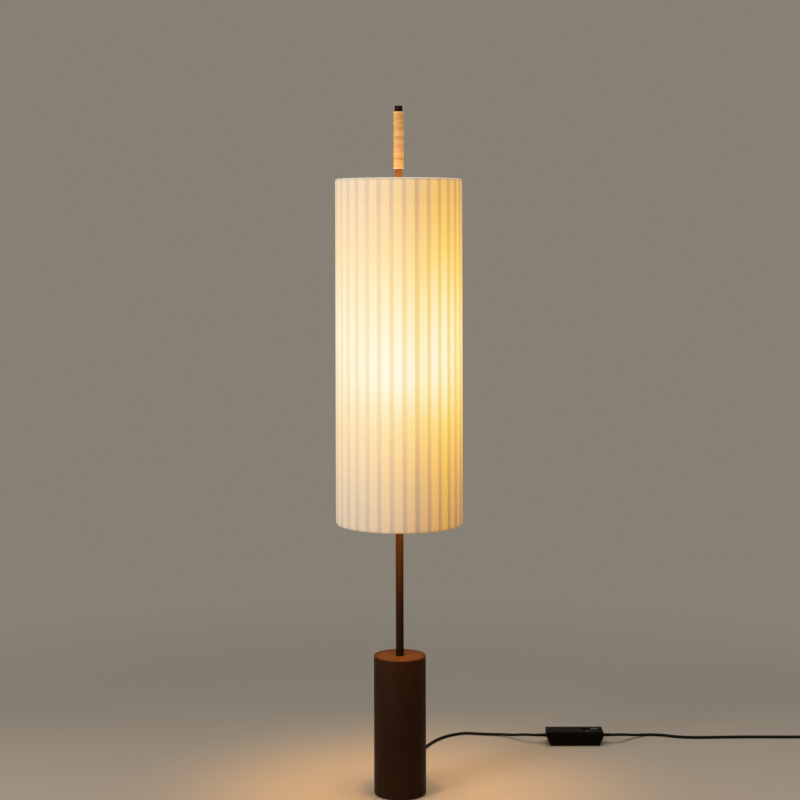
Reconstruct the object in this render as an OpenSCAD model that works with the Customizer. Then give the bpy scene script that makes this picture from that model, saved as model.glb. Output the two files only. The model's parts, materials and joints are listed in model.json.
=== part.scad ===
// Floor lamp: a tall round shade of overlapping cotton ribbons on a thin stem, over a heavy
// cylindrical base, with a wound grip above the shade and an in-line dimmer on its supply cord.
// Millimetres, +Z up. The origin is on the floor under the middle of the base. The front is -Y.

/* [Base] */
// Outer diameter of the base sleeve
base_d = 106; // [100:1:150]
// Height of the base over the floor
base_h = 280; // [230:5:340]
// Wall of the base sleeve
sleeve_wall = 2; // [1.5:0.1:3]
// Gap between the floor and the sleeve's lower edge
sleeve_lift = 1.5; // [1:0.1:2]
// Thickness of the disc that closes the base at the top
top_disc_t = 4; // [2:0.5:8]
// Depth of that disc's face below the sleeve's upper edge
top_disc_recess = 0.4; // [0.2:0.1:1]
// Thickness of the steel plate that closes the base at the bottom
base_plate_t = 3; // [3:0.5:6]
// Thickness of the foot pad under the plate
foot_pad_t = 2.5; // [2:0.5:5]
// Distance from the plate's edge to the foot pad's edge
foot_pad_inset = 2; // [1:0.5:8]
// Height of the iron weight
weight_h = 160; // [120:5:170]
// Diameter of the pocket under the weight
pocket_d = 60; // [50:1:64]
// Thread diameter of the screws that hold the plate
base_screw_d = 5; // [4:0.5:6]
// Length of those screws in the weight
base_screw_l = 14; // [10:1:24]
// Number of those screws
base_screw_count = 4; // [4:4:8]

/* [Stem] */
// Outer diameter of the stem tube
stem_d = 16; // [15:0.5:20]
// Wall of the stem tube
stem_wall = 1.5; // [1:0.1:1.8]
// Depth of the stem's seat in the weight
stem_socket = 20; // [12:1:40]
// Length of the threaded insert in the stem's lower end
insert_l = 16; // [12:1:30]
// Outer diameter of the hollow threaded rod that clamps the stem to the weight
rod_d = 10; // [9.5:0.5:11]
// Height of the nut on that rod
nut_h = 8; // [5:0.5:10]
// Width of that nut across its flats
nut_across = 17; // [15:1:20]
// Diameter of the washer over the nut
washer_d = 30; // [22:1:40]
// Thickness of that washer
washer_t = 2; // [1:0.5:3]

/* [Supply cord] */
// Diameter of the cord
cord_d = 6; // [5:0.5:6.5]
// Height of the cord's exit over the floor
exit_z = 15; // [14:0.5:20]
// Radius of the cord's bend inside the base
inner_bend_r = 20; // [16:1:22]
// Length of the tapered relief at the cord's exit
exit_relief_l = 24; // [20:1:40]
// Diameter of the relief's body in the sleeve
relief_neck_d = 11; // [10:0.5:12]
// Diameter of the leads to the lampholders
lead_d = 4.5; // [4:0.5:5]

/* [Grip] */
// Bare stem between the shade and the winding
bare_stem_h = 21; // [10:1:60]
// Height of the winding
winding_h = 117; // [80:1:120]
// Turns of the winding
winding_turns = 24; // [20:1:24]
// Thickness of the wound strip
winding_t = 2.4; // [2:0.1:3]
// Height of the cap over the winding
end_cap_h = 12; // [6:1:24]
// Depth of the cap's spigot in the stem
cap_spigot_h = 14; // [8:1:24]

/* [Shade] */
// Outer diameter of the shade
shade_d = 260; // [240:2:320]
// Height of the shade
shade_h = 700; // [640:10:800]
// Height of the shade's lower edge over the floor
shade_z = 550; // [450:10:650]
// Number of ribbon runs round the shade
ribbon_count = 32; // [28:4:36]
// Width of the ribbon
ribbon_w = 35; // [32:1:38]
// Thickness of the ribbon
ribbon_t = 0.6; // [0.5:0.1:0.9]
// Angle from the front to the first ribbon's outer edge
first_edge = 2.6; // [0:0.1:11]
// Diameter of the wire of the shade's rings
ring_wire_d = 5; // [4:0.5:6]
// Diameter of the upright wires between the rings
strut_d = 3; // [2:0.5:3.5]
// Number of upright wires
strut_count = 4; // [4:4:8]
// Diameter of the three arms between the hub and the upper ring
arm_rod_d = 4; // [3:0.5:5]
// Height of the shade's hub
hub_h = 9; // [7:0.5:14]
// Wall of the shade's hub
hub_wall = 4; // [3:0.5:6]
// Height of the flange that carries the hub
flange_h = 4; // [3:0.5:8]
// Height of the spigot that centres the hub
spigot_h = 6; // [4:0.5:6.5]

/* [Lamps] */
// Height of the lower globe's centre over the shade's lower edge
lower_rise = 297; // [200:1:320]
// Height of the upper globe's centre over the shade's lower edge
upper_rise = 428; // [400:1:540]
// Angle of the lower lamp round the stem, from +X
lower_angle = 265; // [250:1:290]
// Angle of the upper lamp round the stem, from +X
upper_angle = 105; // [80:1:110]
// Distance between the stem's axis and a lamp's axis
lamp_offset = 48; // [48:1:56]
// Diameter of a bulb's globe
globe_d = 60; // [50:1:62]
// Height of the globe's centre over the bulb's screw cap
globe_rise = 49; // [46:1:60]
// Diameter of the bulb's neck
neck_d = 28; // [27:0.5:32]
// Outer diameter of the bulb's screw cap
screw_cap_d = 26; // [25:0.5:26.5]
// Height of the bulb's screw cap
screw_cap_h = 25; // [22:1:26]
// Outer diameter of a lampholder
holder_d = 38; // [34:1:44]
// Height of a lampholder
holder_h = 52; // [44:1:64]
// Outer diameter of the threaded tube under a lampholder
nipple_d = 10; // [9:0.5:11]
// Length of that tube
nipple_l = 14; // [12:1:20]
// Width of the strip that carries a lampholder
strip_w = 18; // [15:1:22]
// Thickness of that strip
strip_t = 2; // [1.5:0.5:3]
// Height of the collar that clamps the strip to the stem
collar_h = 12; // [10:1:18]
// Wall of that collar
collar_wall = 4.5; // [3:0.5:4.5]
// Diameter of the grub screws in the collars
grub_d = 4; // [3:0.5:5]

/* [Dimmer] */
// Length of the dimmer's case
dimmer_l = 126; // [118:1:140]
// Width of the dimmer's case
dimmer_w = 45; // [44:1:60]
// Height of the dimmer's case
dimmer_h = 30; // [29:1:36]
// Length of the flat underside, between the sloped ends
dimmer_foot_l = 107; // [104:1:112]
// Height of the joint between the two half cases
split_z = 18; // [16:0.5:19]
// Wall of the half cases
case_wall = 2.2; // [1.6:0.1:2.6]
// Radius of the upright corners of the case
case_corner = 3; // [1:0.5:5]
// Length of the slider's knob
knob_l = 15; // [10:1:16]
// Width of the slider's knob
knob_w = 9; // [6:0.5:9]
// Rise of the knob over the case
knob_rise = 1; // [0.5:0.1:4]
// Travel of the slider
knob_travel = 20; // [12:1:20]
// Diameter of the pilot lamp's lens
lens_d = 5; // [3:0.5:5]
// Length of the tapered reliefs at the dimmer's ends
dimmer_relief_l = 20; // [20:1:30]
// Diameter of those reliefs at the case
dimmer_relief_d = 8.4; // [8:0.1:9]
// Diameter of the case screws
case_screw_d = 3; // [2.5:0.1:3.2]
// Thickness of the circuit board
board_t = 1.6; // [1:0.2:2]
// Height of the circuit board's underside over the floor
board_z = 9; // [6:0.5:10]

/* [Plug] */
// Length of the plug's body
plug_l = 36; // [32:1:44]
// Width of the plug's body at its face
plug_w = 35; // [32:1:38]
// Thickness of the plug's body
plug_t = 14; // [13:0.5:16]
// Length of the plug's tapered relief
plug_relief_l = 24; // [20:1:30]
// Diameter of a plug pin
pin_d = 4; // [3.8:0.1:4.8]
// Length of a plug pin in front of the face
pin_l = 19; // [17:0.5:20]
// Distance between the plug pins
pin_spacing = 18.6; // [17.5:0.1:19.5]

/* [Hidden] */
$fn = 72;

// Clearances
fit = 0.1;        // radial, where a fixed piece sits in or on another
seat = 0.15;      // between curved faces that rest on each other
slide_gap = 0.3;  // round the dimmer's slider
hub_gap = 1.2;    // radial, between the shade's hub and the winding it passes over
thread_gap = 0.8; // radial, between a bulb's screw cap and its socket
lap_gap = 0.15;   // between two ribbons where they overlap
turn_gap = 0.45;  // between two turns of the winding

// Base, from the floor up
base_r = base_d / 2;
core_r = base_r - sleeve_wall - fit;
plate_z = foot_pad_t;
weight_z = plate_z + base_plate_t;
weight_top = weight_z + weight_h;
channel_d = relief_neck_d + 2 * fit;
rod_z = exit_z + inner_bend_r + 1;
nut_z = rod_z + 2;
washer_z = nut_z + nut_h;
pocket_top = washer_z + washer_t;
screw_ring_r = (pocket_d / 2 + core_r) / 2;

// Stem
stem_r = stem_d / 2;
stem_bore_d = stem_d - 2 * stem_wall;
stem_z = weight_top - stem_socket;
shade_top = shade_z + shade_h;
winding_z = shade_top + bare_stem_h;
stem_top = winding_z + winding_h;

// Winding: a strip of six sides wound round the stem
winding_pitch = winding_h / (winding_turns + 1);
strip_wide = winding_pitch - turn_gap;
winding_r = stem_r + seat + winding_t / 2;
grip_r = winding_r + winding_t / 2;

// Shade: each ribbon leans so that its left edge lies on its neighbour's right edge
ribbon_step = 360 / ribbon_count;
ribbon_lean = (ribbon_t + lap_gap) * (ribbon_w / 2) / (PI * shade_d / ribbon_count);
ribbon_r = shade_d / 2 - ribbon_lean - ribbon_t / 2;
ribbon_span = ribbon_w / ribbon_r * 180 / PI;
ribbon_tilt = asin(2 * ribbon_lean / ribbon_w);
ribbon_inner_r = ribbon_r - ribbon_lean - ribbon_t / 2;
ring_r = ribbon_inner_r - seat - ring_wire_d / 2;
upper_ring_z = shade_top - ribbon_t - ring_wire_d / 2;
lower_ring_z = shade_z + ribbon_t + ring_wire_d / 2;
hub_bore_d = 2 * (grip_r + hub_gap);
hub_d = hub_bore_d + 2 * hub_wall;
hub_z = upper_ring_z - hub_h / 2 - 1;
flange_z = hub_z - flange_h;

// Lamps: heights of the lampholders' undersides
socket_floor = holder_h - screw_cap_h - 2;
cap_lift = socket_floor + 2 + fit;
globe_lift = cap_lift + screw_cap_h + globe_rise;
lower_holder_z = shade_z + lower_rise - globe_lift;
upper_holder_z = shade_z + upper_rise - globe_lift;
lead_bend_r = 9;
lead_drop = nipple_l + 4 + lead_bend_r;
nipple_bore_d = lead_d + 1;

// Dimmer: its place is part of the cord's route
dimmer_x = 389;
dimmer_y = 335.5;
knob_x = 44.5;
knob_y = 4;
lens_x = 29;
lens_y = -8;
boss_x = 45;
boss_d = case_screw_d + 4;
boss_y = dimmer_w / 2 - case_wall - boss_d / 2 + 0.5;
top_under = dimmer_h - case_wall;
knob_foot_t = 2;
board_top = board_z + board_t;

// Cord: routes as points chosen by hand, each stretch from the lamp outwards
exit_y = base_r + exit_relief_l;
cord_r = cord_d / 2;
dimmer_left = dimmer_x - dimmer_l / 2 - dimmer_relief_l;
dimmer_right = dimmer_x + dimmer_l / 2 + dimmer_relief_l;
coil_x = 975;
coil_y = 324.5;
coil_outer_r = 43.5;
coil_pitch = 6.6;
coil_layer = 6.5;
coil_turns = 5;
plug_x = 1112;
plug_y = 356;
plug_tail = plug_x - plug_l - plug_relief_l;
pin_root_l = 10;

lamp_route = [[0, exit_y, exit_z], [0, exit_y + 6, exit_z], [2, 115, 13], [8, 150, 9],
  [18, 190, 5.5], [30, 228, 3.5], [43, 262, 3], [56, 296, 3], [69, 327, 3], [83, 352, 3],
  [101, 375, 3], [125, 393, 3], [149, 402, 3], [188, 396, 3], [224, 389, 4], [254, 371, 8],
  [274, 352, 14], [289, 339, 17.5],
  [dimmer_left - 6, dimmer_y, split_z], [dimmer_left, dimmer_y, split_z]];
mains_route = [[dimmer_right, dimmer_y, split_z], [dimmer_right + 6, dimmer_y, split_z],
  [491, 340, 17], [507, 353, 13], [528, 371, 7], [556, 387, 3], [592, 384, 3], [626, 371, 3],
  [665, 366, 3], [710, 367, 3], [760, 369, 3], [810, 369, 3], [860, 368, 3], [905, 368, 3],
  [940, 368, 3], [coil_x - 2 * cord_d, coil_y + coil_outer_r, cord_r],
  [coil_x - cord_d, coil_y + coil_outer_r, cord_r]];
plug_route = [[coil_x + cord_d, coil_y + coil_outer_r, cord_r + coil_layer],
  [coil_x + 2 * cord_d, coil_y + coil_outer_r, cord_r + coil_layer], [1006, 366.5, 9],
  [1026, 361, 8], [plug_tail - 6, plug_y, plug_t / 2], [plug_tail, plug_y, plug_t / 2]];

// One point of a smooth line through route r, a share t of the way from point i to the next.
// The first and the last stretch are straight, and the line keeps off the floor.
function on_route(r, i, t) =
  let (a = r[max(i - 1, 0)], b = r[i], c = r[i + 1], d = r[min(i + 2, len(r) - 1)],
    curved = 0.5 * (2 * b + (c - a) * t + (2 * a - 5 * b + 4 * c - d) * t * t
      + (3 * b - a - 3 * c + d) * t * t * t),
    p = i == 0 || i == len(r) - 2 ? b + (c - b) * t : curved)
  [p.x, p.y, max(p.z, cord_r)];

// The route with every stretch between two points cut into n steps
function smooth_route(r, n) = concat(
  [for (i = [0 : len(r) - 2]) for (k = [0 : n - 1]) on_route(r, i, k / n)], [r[len(r) - 1]]);

function unit(v) = v / norm(v);

// Direction of travel at point i of path p
function heading(p, i) = unit(p[min(i + 1, len(p) - 1)] - p[max(i - 1, 0)]);

// A ring of n points with radius r round point i of path p, with one point lowest
function ring_at(p, i, r, n) =
  let (t = heading(p, i), s = unit(cross(t, [0, 0, 1])), u = cross(s, t))
  [for (j = [0 : n - 1]) p[i] + r * cos(90 + 360 * j / n) * s + r * sin(90 + 360 * j / n) * u];

// Triangles of a closed tube of m rings with n points each
function tube_faces(m, n) = concat(
  [for (j = [1 : n - 2]) [0, j + 1, j]],
  [for (i = [0 : m - 2]) for (j = [0 : n - 1])
    let (k = (j + 1) % n) each [
      [i * n + j, i * n + k, (i + 1) * n + k],
      [i * n + j, (i + 1) * n + k, (i + 1) * n + j]]],
  [for (j = [1 : n - 2]) [(m - 1) * n, (m - 1) * n + j, (m - 1) * n + j + 1]]);

// A closed round tube of radius r and n sides along path p
module tube(p, r, n) {
  polyhedron(
    points = [for (i = [0 : len(p) - 1]) each ring_at(p, i, r, n)],
    faces = tube_faces(len(p), n),
    convexity = 10);
}

// Outline of a rectangle of l by w with corners of radius r
function rounded_outline(l, w, r) = [
  for (c = [[1, 1, 0], [-1, 1, 90], [-1, -1, 180], [1, -1, 270]]) for (a = [0 : 15 : 90])
    [c.x * (l / 2 - r) + r * cos(c.z + a), c.y * (w / 2 - r) + r * sin(c.z + a)]];

// A round tube standing on z = 0
module sleeve(outer_d, bore_d, h) {
  difference() {
    cylinder(d = outer_d, h = h);
    translate([0, 0, -1]) cylinder(d = bore_d, h = h + 2);
  }
}

// A ring of round wire at height z
module wire_ring(z) {
  translate([0, 0, z]) rotate_extrude() translate([ring_r, 0]) circle(d = ring_wire_d, $fn = 32);
}

// ---------- base ----------

module foot_pad() {
  color("#1c1a18") cylinder(r = core_r - foot_pad_inset, h = foot_pad_t);
}

module at_base_screws() {
  for (i = [0 : base_screw_count - 1])
    rotate([0, 0, 45 + i * 360 / base_screw_count])
      translate([screw_ring_r, 0, plate_z]) children();
}

module base_screw_shape(gap) {
  cylinder(d1 = 2 * base_screw_d + 2 * gap, d2 = base_screw_d + 2 * gap, h = base_screw_d / 2);
  cylinder(d = base_screw_d + 2 * gap, h = base_plate_t + base_screw_l + gap);
}

module base_screws() {
  color("#a9a9a6") at_base_screws() base_screw_shape(0);
}

module base_plate() {
  color("#3a3632") difference() {
    translate([0, 0, plate_z]) cylinder(r = core_r, h = base_plate_t);
    at_base_screws() base_screw_shape(fit);
  }
}

module exit_channel() {
  translate([0, 0, exit_z]) rotate([-90, 0, 0]) cylinder(d = channel_d, h = base_d);
}

module counterweight() {
  color("#4a4845") difference() {
    translate([0, 0, weight_z]) cylinder(r = core_r, h = weight_h);
    translate([0, 0, weight_z - 1]) cylinder(d = pocket_d, h = pocket_top - weight_z + 1);
    translate([0, 0, weight_z]) cylinder(d = rod_d + 1, h = weight_h);
    translate([0, 0, stem_z]) cylinder(r = stem_r + fit, h = stem_socket + 1);
    at_base_screws() base_screw_shape(fit);
    exit_channel();
  }
}

module base_sleeve() {
  color("#3b2216") difference() {
    translate([0, 0, sleeve_lift]) sleeve(base_d, base_d - 2 * sleeve_wall, base_h - sleeve_lift);
    exit_channel();
  }
}

module base_top_disc() {
  color("#5a3019") translate([0, 0, base_h - top_disc_recess - top_disc_t])
    sleeve(2 * core_r, stem_d + 2 * fit, top_disc_t);
}

// ---------- stem ----------

module threaded_rod() {
  color("#b8b4ac") translate([0, 0, rod_z]) sleeve(rod_d, cord_d + 1, stem_z + insert_l - rod_z);
}

module rod_nut() {
  color("#b8b4ac") translate([0, 0, nut_z]) difference() {
    cylinder(d = nut_across / cos(30), h = nut_h, $fn = 6);
    translate([0, 0, -1]) cylinder(d = rod_d + 2 * fit, h = nut_h + 2);
  }
}

module rod_washer() {
  color("#b8b4ac") translate([0, 0, washer_z]) sleeve(washer_d, rod_d + 4 * fit, washer_t);
}

module stem_insert() {
  color("#8f8a80") translate([0, 0, stem_z])
    sleeve(stem_bore_d - 2 * fit, rod_d + 2 * fit, insert_l);
}

// Places its children at the hole where a lamp's lead leaves the stem
module at_lead_hole(angle, holder_z) {
  rotate([0, 0, angle]) translate([0, 0, holder_z - lead_drop]) children();
}

module lead_hole(angle, holder_z) {
  at_lead_hole(angle, holder_z) rotate([0, 90, 0]) cylinder(d = lead_d + 1, h = stem_d);
}

module stem() {
  color("#4a2814") difference() {
    translate([0, 0, stem_z]) sleeve(stem_d, stem_bore_d, stem_top - stem_z);
    lead_hole(lower_angle, lower_holder_z);
    lead_hole(upper_angle, upper_holder_z);
  }
}

module end_cap() {
  color("#3a2012") {
    translate([0, 0, stem_top]) cylinder(d = stem_d, h = end_cap_h - 1);
    translate([0, 0, stem_top + end_cap_h - 1]) cylinder(d1 = stem_d, d2 = stem_d - 2, h = 1);
    translate([0, 0, stem_top - cap_spigot_h]) cylinder(d = stem_bore_d - 2 * fit, h = cap_spigot_h + 1);
  }
}

// Winding: 24 rings a turn, and a straight run at each end
winding_rings = 24 * winding_turns;
winding_start = winding_z + winding_pitch / 2;

function winding_point(i) =
  let (a = 360 * i / 24)
  [winding_r * cos(a), winding_r * sin(a), winding_start + winding_pitch * i / 24];

// The strip's section at angle a, round point p: flat faces inside and outside
function strip_ring(p, a) =
  let (out = [cos(a), sin(a), 0], up = [0, 0, 1])
  [for (s = [[0, 1], [-1, 0.7], [-1, -0.7], [0, -1], [1, -0.7], [1, 0.7]])
    p + out * s.x * winding_t / 2 + up * s.y * strip_wide / 2];

winding_first = winding_point(0) + winding_t * [0, -1, 0];
winding_last = winding_point(winding_rings) + winding_t * [0, 1, 0];
winding_sections = concat([strip_ring(winding_first, 0)],
  [for (i = [0 : winding_rings]) strip_ring(winding_point(i), 360 * i / 24)],
  [strip_ring(winding_last, 0)]);

// Least gap between one turn and the next, on the points of the strip's two edges
winding_gap = min([for (i = [1 : winding_rings - 24]) for (k = [23 : 25])
  norm(winding_sections[i + k][3] - winding_sections[i][0])]);
echo(winding_gap = winding_gap);

module grip_winding() {
  color("#d9a866") polyhedron(
    points = [for (r = winding_sections) each r],
    faces = tube_faces(len(winding_sections), 6),
    convexity = 10);
}

// ---------- cord inside the lamp ----------

module exit_relief() {
  color("#1a1512") difference() {
    union() {
      translate([0, base_r - sleeve_wall - 3, exit_z]) rotate([-90, 0, 0])
        cylinder(d = relief_neck_d, h = sleeve_wall + 4);
      difference() {
        translate([0, base_r - 2, exit_z]) rotate([-90, 0, 0])
          cylinder(d = relief_neck_d + 4, h = 4);
        cylinder(r = base_r, h = 2 * exit_z);
      }
      translate([0, base_r + 0.5, exit_z]) rotate([-90, 0, 0])
        cylinder(d1 = relief_neck_d, d2 = cord_d + 1.6, h = exit_relief_l - 0.5);
    }
    translate([0, 0, exit_z]) rotate([-90, 0, 0]) cylinder(d = cord_d + 2 * fit, h = base_d);
  }
}

module inner_cord() {
  cord_top = upper_holder_z - lead_drop + cord_d;
  color("#1a1512") {
    translate([0, inner_bend_r, exit_z]) rotate([-90, 0, 0])
      cylinder(d = cord_d, h = exit_y - inner_bend_r);
    translate([0, inner_bend_r, exit_z + inner_bend_r]) rotate([0, 0, 180]) rotate([0, 90, 0])
      rotate([0, 0, 90]) rotate_extrude(angle = -90) translate([inner_bend_r, 0]) circle(d = cord_d);
    translate([0, 0, exit_z + inner_bend_r]) cylinder(d = cord_d, h = cord_top - exit_z - inner_bend_r);
  }
}

// A lead from the cord in the stem, out through its hole and up into the lampholder's tube
module lead(angle, holder_z) {
  color("#c9c2b4") at_lead_hole(angle, holder_z) difference() {
    union() {
      rotate([0, 90, 0]) cylinder(d = lead_d, h = lamp_offset - lead_bend_r);
      translate([lamp_offset - lead_bend_r, 0, lead_bend_r]) rotate([90, 0, 0])
        rotate([0, 0, -90]) rotate_extrude(angle = 90) translate([lead_bend_r, 0]) circle(d = lead_d);
      translate([lamp_offset, 0, lead_bend_r]) cylinder(d = lead_d, h = 4 + nipple_l);
    }
    translate([0, 0, -cord_d]) cylinder(d = cord_d + 2 * fit, h = 3 * cord_d);
  }
}

module lower_lead() {
  lead(lower_angle, lower_holder_z);
}

module upper_lead() {
  lead(upper_angle, upper_holder_z);
}

// ---------- lampholders and bulbs ----------

// Places its children on a lamp's axis, at the underside of its lampholder
module at_lamp(angle, holder_z) {
  rotate([0, 0, angle]) translate([lamp_offset, 0, holder_z]) children();
}

module strip(angle, holder_z) {
  collar_r = stem_r + collar_wall;
  color("#8d8880") rotate([0, 0, angle]) translate([0, 0, holder_z]) difference() {
    union() {
      translate([0, 0, -strip_t / 2 - collar_h / 2]) cylinder(r = collar_r, h = collar_h);
      translate([stem_r, -strip_w / 2, -strip_t]) cube([lamp_offset - stem_r, strip_w, strip_t]);
      translate([lamp_offset, 0, -strip_t]) cylinder(d = strip_w, h = strip_t);
    }
    translate([0, 0, -collar_h]) cylinder(r = stem_r + fit, h = 2 * collar_h);
    translate([lamp_offset, 0, -strip_t - 1]) cylinder(d = nipple_d + 4 * fit, h = strip_t + 2);
    translate([-collar_r - 1, 0, -strip_t / 2]) rotate([0, 90, 0])
      cylinder(d = grub_d + 2 * fit, h = collar_wall + 2);
    // The side towards the lamp leaves room for the lampholder
    translate([lamp_offset, 0, 0]) cylinder(d = holder_d + 1, h = collar_h);
  }
}

module lower_strip() {
  strip(lower_angle, lower_holder_z);
}

module upper_strip() {
  strip(upper_angle, upper_holder_z);
}

module collar_screws() {
  color("#a9a9a6") for (s = [[lower_angle, lower_holder_z], [upper_angle, upper_holder_z]])
    rotate([0, 0, s.x]) translate([-stem_r - collar_wall, 0, s.y - strip_t / 2])
      rotate([0, 90, 0]) cylinder(d = grub_d, h = collar_wall - fit);
}

module lampholder(angle, holder_z) {
  color("#e8e4da") at_lamp(angle, holder_z) difference() {
    union() {
      cylinder(d = holder_d - 6, h = holder_h);
      translate([0, 0, 4]) cylinder(d = holder_d, h = holder_h - 10);
      translate([0, 0, -nipple_l]) cylinder(d = nipple_d, h = nipple_l + 1);
    }
    translate([0, 0, socket_floor]) cylinder(d = screw_cap_d + 2 * thread_gap, h = holder_h);
    translate([0, 0, -nipple_l - 1]) cylinder(d = nipple_bore_d, h = nipple_l + 4);
  }
}

module lower_lampholder() {
  lampholder(lower_angle, lower_holder_z);
}

module upper_lampholder() {
  lampholder(upper_angle, upper_holder_z);
}

module lampholder_nuts() {
  color("#a9a9a6") for (s = [[lower_angle, lower_holder_z], [upper_angle, upper_holder_z]])
    at_lamp(s.x, s.y) translate([0, 0, -strip_t - 4]) difference() {
      cylinder(d = nipple_d + 5, h = 4, $fn = 6);
      translate([0, 0, -1]) cylinder(d = nipple_d + 2 * fit, h = 6);
    }
}

// Half outline of a globe on its neck: round at the top, then a cone down to the neck
globe_turn = 125;
globe_outline = concat([[0, 0], [neck_d / 2, 0],
  [neck_d / 2, globe_rise + globe_d / 2 * cos(globe_turn)
    - (globe_d / 2 * sin(globe_turn) - neck_d / 2) * tan(globe_turn - 90)]],
  [for (a = [globe_turn : -5 : 0]) [globe_d / 2 * sin(a), globe_rise + globe_d / 2 * cos(a)]]);

module globe(angle, holder_z) {
  color("#fbf3e0") at_lamp(angle, holder_z) translate([0, 0, cap_lift + screw_cap_h])
    rotate_extrude() polygon(globe_outline);
}

module lower_globe() {
  globe(lower_angle, lower_holder_z);
}

module upper_globe() {
  globe(upper_angle, upper_holder_z);
}

module screw_cap(angle, holder_z) {
  color("#b9b6ae") at_lamp(angle, holder_z) translate([0, 0, cap_lift]) {
    cylinder(d = screw_cap_d, h = screw_cap_h);
    translate([0, 0, -2]) cylinder(d1 = 9, d2 = 15, h = 2);
  }
}

module lower_screw_cap() {
  screw_cap(lower_angle, lower_holder_z);
}

module upper_screw_cap() {
  screw_cap(upper_angle, upper_holder_z);
}

// ---------- shade ----------

module shade_flange() {
  color("#4a2814") difference() {
    union() {
      translate([0, 0, flange_z]) cylinder(d = hub_d, h = flange_h);
      translate([0, 0, hub_z]) cylinder(d = hub_bore_d - 2 * slide_gap, h = spigot_h);
    }
    translate([0, 0, flange_z - 1]) cylinder(r = stem_r + fit, h = flange_h + spigot_h + 2);
    translate([0, 0, flange_z + flange_h / 2]) rotate([-90, 0, 0])
      cylinder(d = flange_h / 2 + 2 * fit, h = hub_d);
  }
}

module flange_screw() {
  color("#a9a9a6") translate([0, stem_r + fit, flange_z + flange_h / 2]) rotate([-90, 0, 0])
    cylinder(d = flange_h / 2, h = hub_d / 2 - stem_r - fit);
}

module shade_hub() {
  color("#e9e5dc") translate([0, 0, hub_z]) sleeve(hub_d, hub_bore_d, hub_h);
}

module shade_arms() {
  color("#e9e5dc") for (a = [90, 210, 330]) difference() {
    rotate([0, 0, a]) translate([0, 0, upper_ring_z]) rotate([0, 90, 0])
      cylinder(d = arm_rod_d, h = ring_r, $fn = 32);
    translate([0, 0, hub_z - hub_h]) cylinder(d = hub_d, h = 3 * hub_h);
    wire_ring(upper_ring_z);
  }
}

module upper_ring() {
  color("#e9e5dc") wire_ring(upper_ring_z);
}

module lower_ring() {
  color("#e9e5dc") wire_ring(lower_ring_z);
}

module shade_struts() {
  color("#e9e5dc") for (i = [0 : strut_count - 1]) difference() {
    rotate([0, 0, 45 + i * 360 / strut_count]) translate([ring_r, 0, lower_ring_z])
      cylinder(d = strut_d, h = upper_ring_z - lower_ring_z, $fn = 32);
    wire_ring(lower_ring_z);
    wire_ring(upper_ring_z);
  }
}

module shade_ribbons() {
  color("#f3e6cb") for (k = [0 : ribbon_count - 1])
    rotate([0, 0, first_edge - 90 + ribbon_span / 2 + k * ribbon_step])
      translate([ribbon_r, 0, shade_z]) rotate([0, 0, ribbon_tilt]) translate([-ribbon_r, 0, 0])
        rotate([0, 0, -ribbon_span / 2]) rotate_extrude(angle = ribbon_span)
          translate([ribbon_r - ribbon_t / 2, 0]) square([ribbon_t, shade_h]);
}

// ---------- dimmer ----------

module in_dimmer() {
  translate([dimmer_x, dimmer_y, 0]) children();
}

// Long section of the case, drawn in by w all round
module case_section(w, top) {
  slope = (dimmer_l - dimmer_foot_l) / 2 / split_z;
  foot = dimmer_foot_l / 2 - w * (sqrt(1 + slope * slope) - slope);
  side = dimmer_l / 2 - w;
  rotate([90, 0, 0]) linear_extrude(dimmer_w - 2 * w, center = true)
    polygon([[-foot, w], [foot, w], [side, split_z], [side, top], [-side, top], [-side, split_z]]);
}

module case_block(w, top) {
  intersection() {
    case_section(w, top);
    linear_extrude(dimmer_h) polygon(
      rounded_outline(dimmer_l - 2 * w, dimmer_w - 2 * w, max(case_corner - w, 0.4)));
  }
}

module case_cord_holes() {
  translate([-dimmer_l, 0, split_z]) rotate([0, 90, 0])
    cylinder(d = dimmer_relief_d + 2 * fit, h = 2 * dimmer_l);
}

module at_bosses() {
  for (x = [-boss_x, boss_x]) for (y = [-boss_y, boss_y]) translate([x, y, 0]) children();
}

module dimmer_lower_case() {
  color("#14120f") in_dimmer() difference() {
    union() {
      difference() {
        intersection() {
          case_block(0, dimmer_h);
          translate([-dimmer_l, -dimmer_w, 0]) cube([2 * dimmer_l, 2 * dimmer_w, split_z]);
        }
        case_block(case_wall, dimmer_h);
      }
      intersection() {
        at_bosses() cylinder(d = boss_d, h = split_z);
        case_block(case_wall / 2, dimmer_h);
      }
      for (x = [-34, 34]) for (y = [-8, 8]) translate([x, y, case_wall / 2])
        cylinder(d = 5, h = board_z - case_wall / 2);
    }
    at_bosses() translate([0, 0, -1]) cylinder(d = case_screw_d + 2 * fit, h = dimmer_h);
    at_bosses() translate([0, 0, -1]) cylinder(d = case_screw_d + 2.6, h = 4);
    case_cord_holes();
  }
}

module dimmer_upper_case() {
  slot_l = knob_l + knob_travel + 2 * slide_gap;
  color("#14120f") in_dimmer() difference() {
    union() {
      difference() {
        intersection() {
          case_block(0, dimmer_h);
          translate([-dimmer_l, -dimmer_w, split_z]) cube([2 * dimmer_l, 2 * dimmer_w, dimmer_h]);
        }
        case_block(case_wall, top_under);
      }
      intersection() {
        at_bosses() translate([0, 0, split_z]) cylinder(d = boss_d, h = top_under - split_z + 0.5);
        case_block(case_wall / 2, dimmer_h);
      }
    }
    at_bosses() cylinder(d = case_screw_d + 2 * fit, h = split_z + 8);
    translate([knob_x + knob_l / 2 + slide_gap - slot_l, knob_y - knob_w / 2 - slide_gap, split_z])
      cube([slot_l, knob_w + 2 * slide_gap, dimmer_h]);
    translate([lens_x, lens_y, split_z]) cylinder(d = lens_d + 2 * fit, h = dimmer_h);
    case_cord_holes();
  }
}

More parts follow.
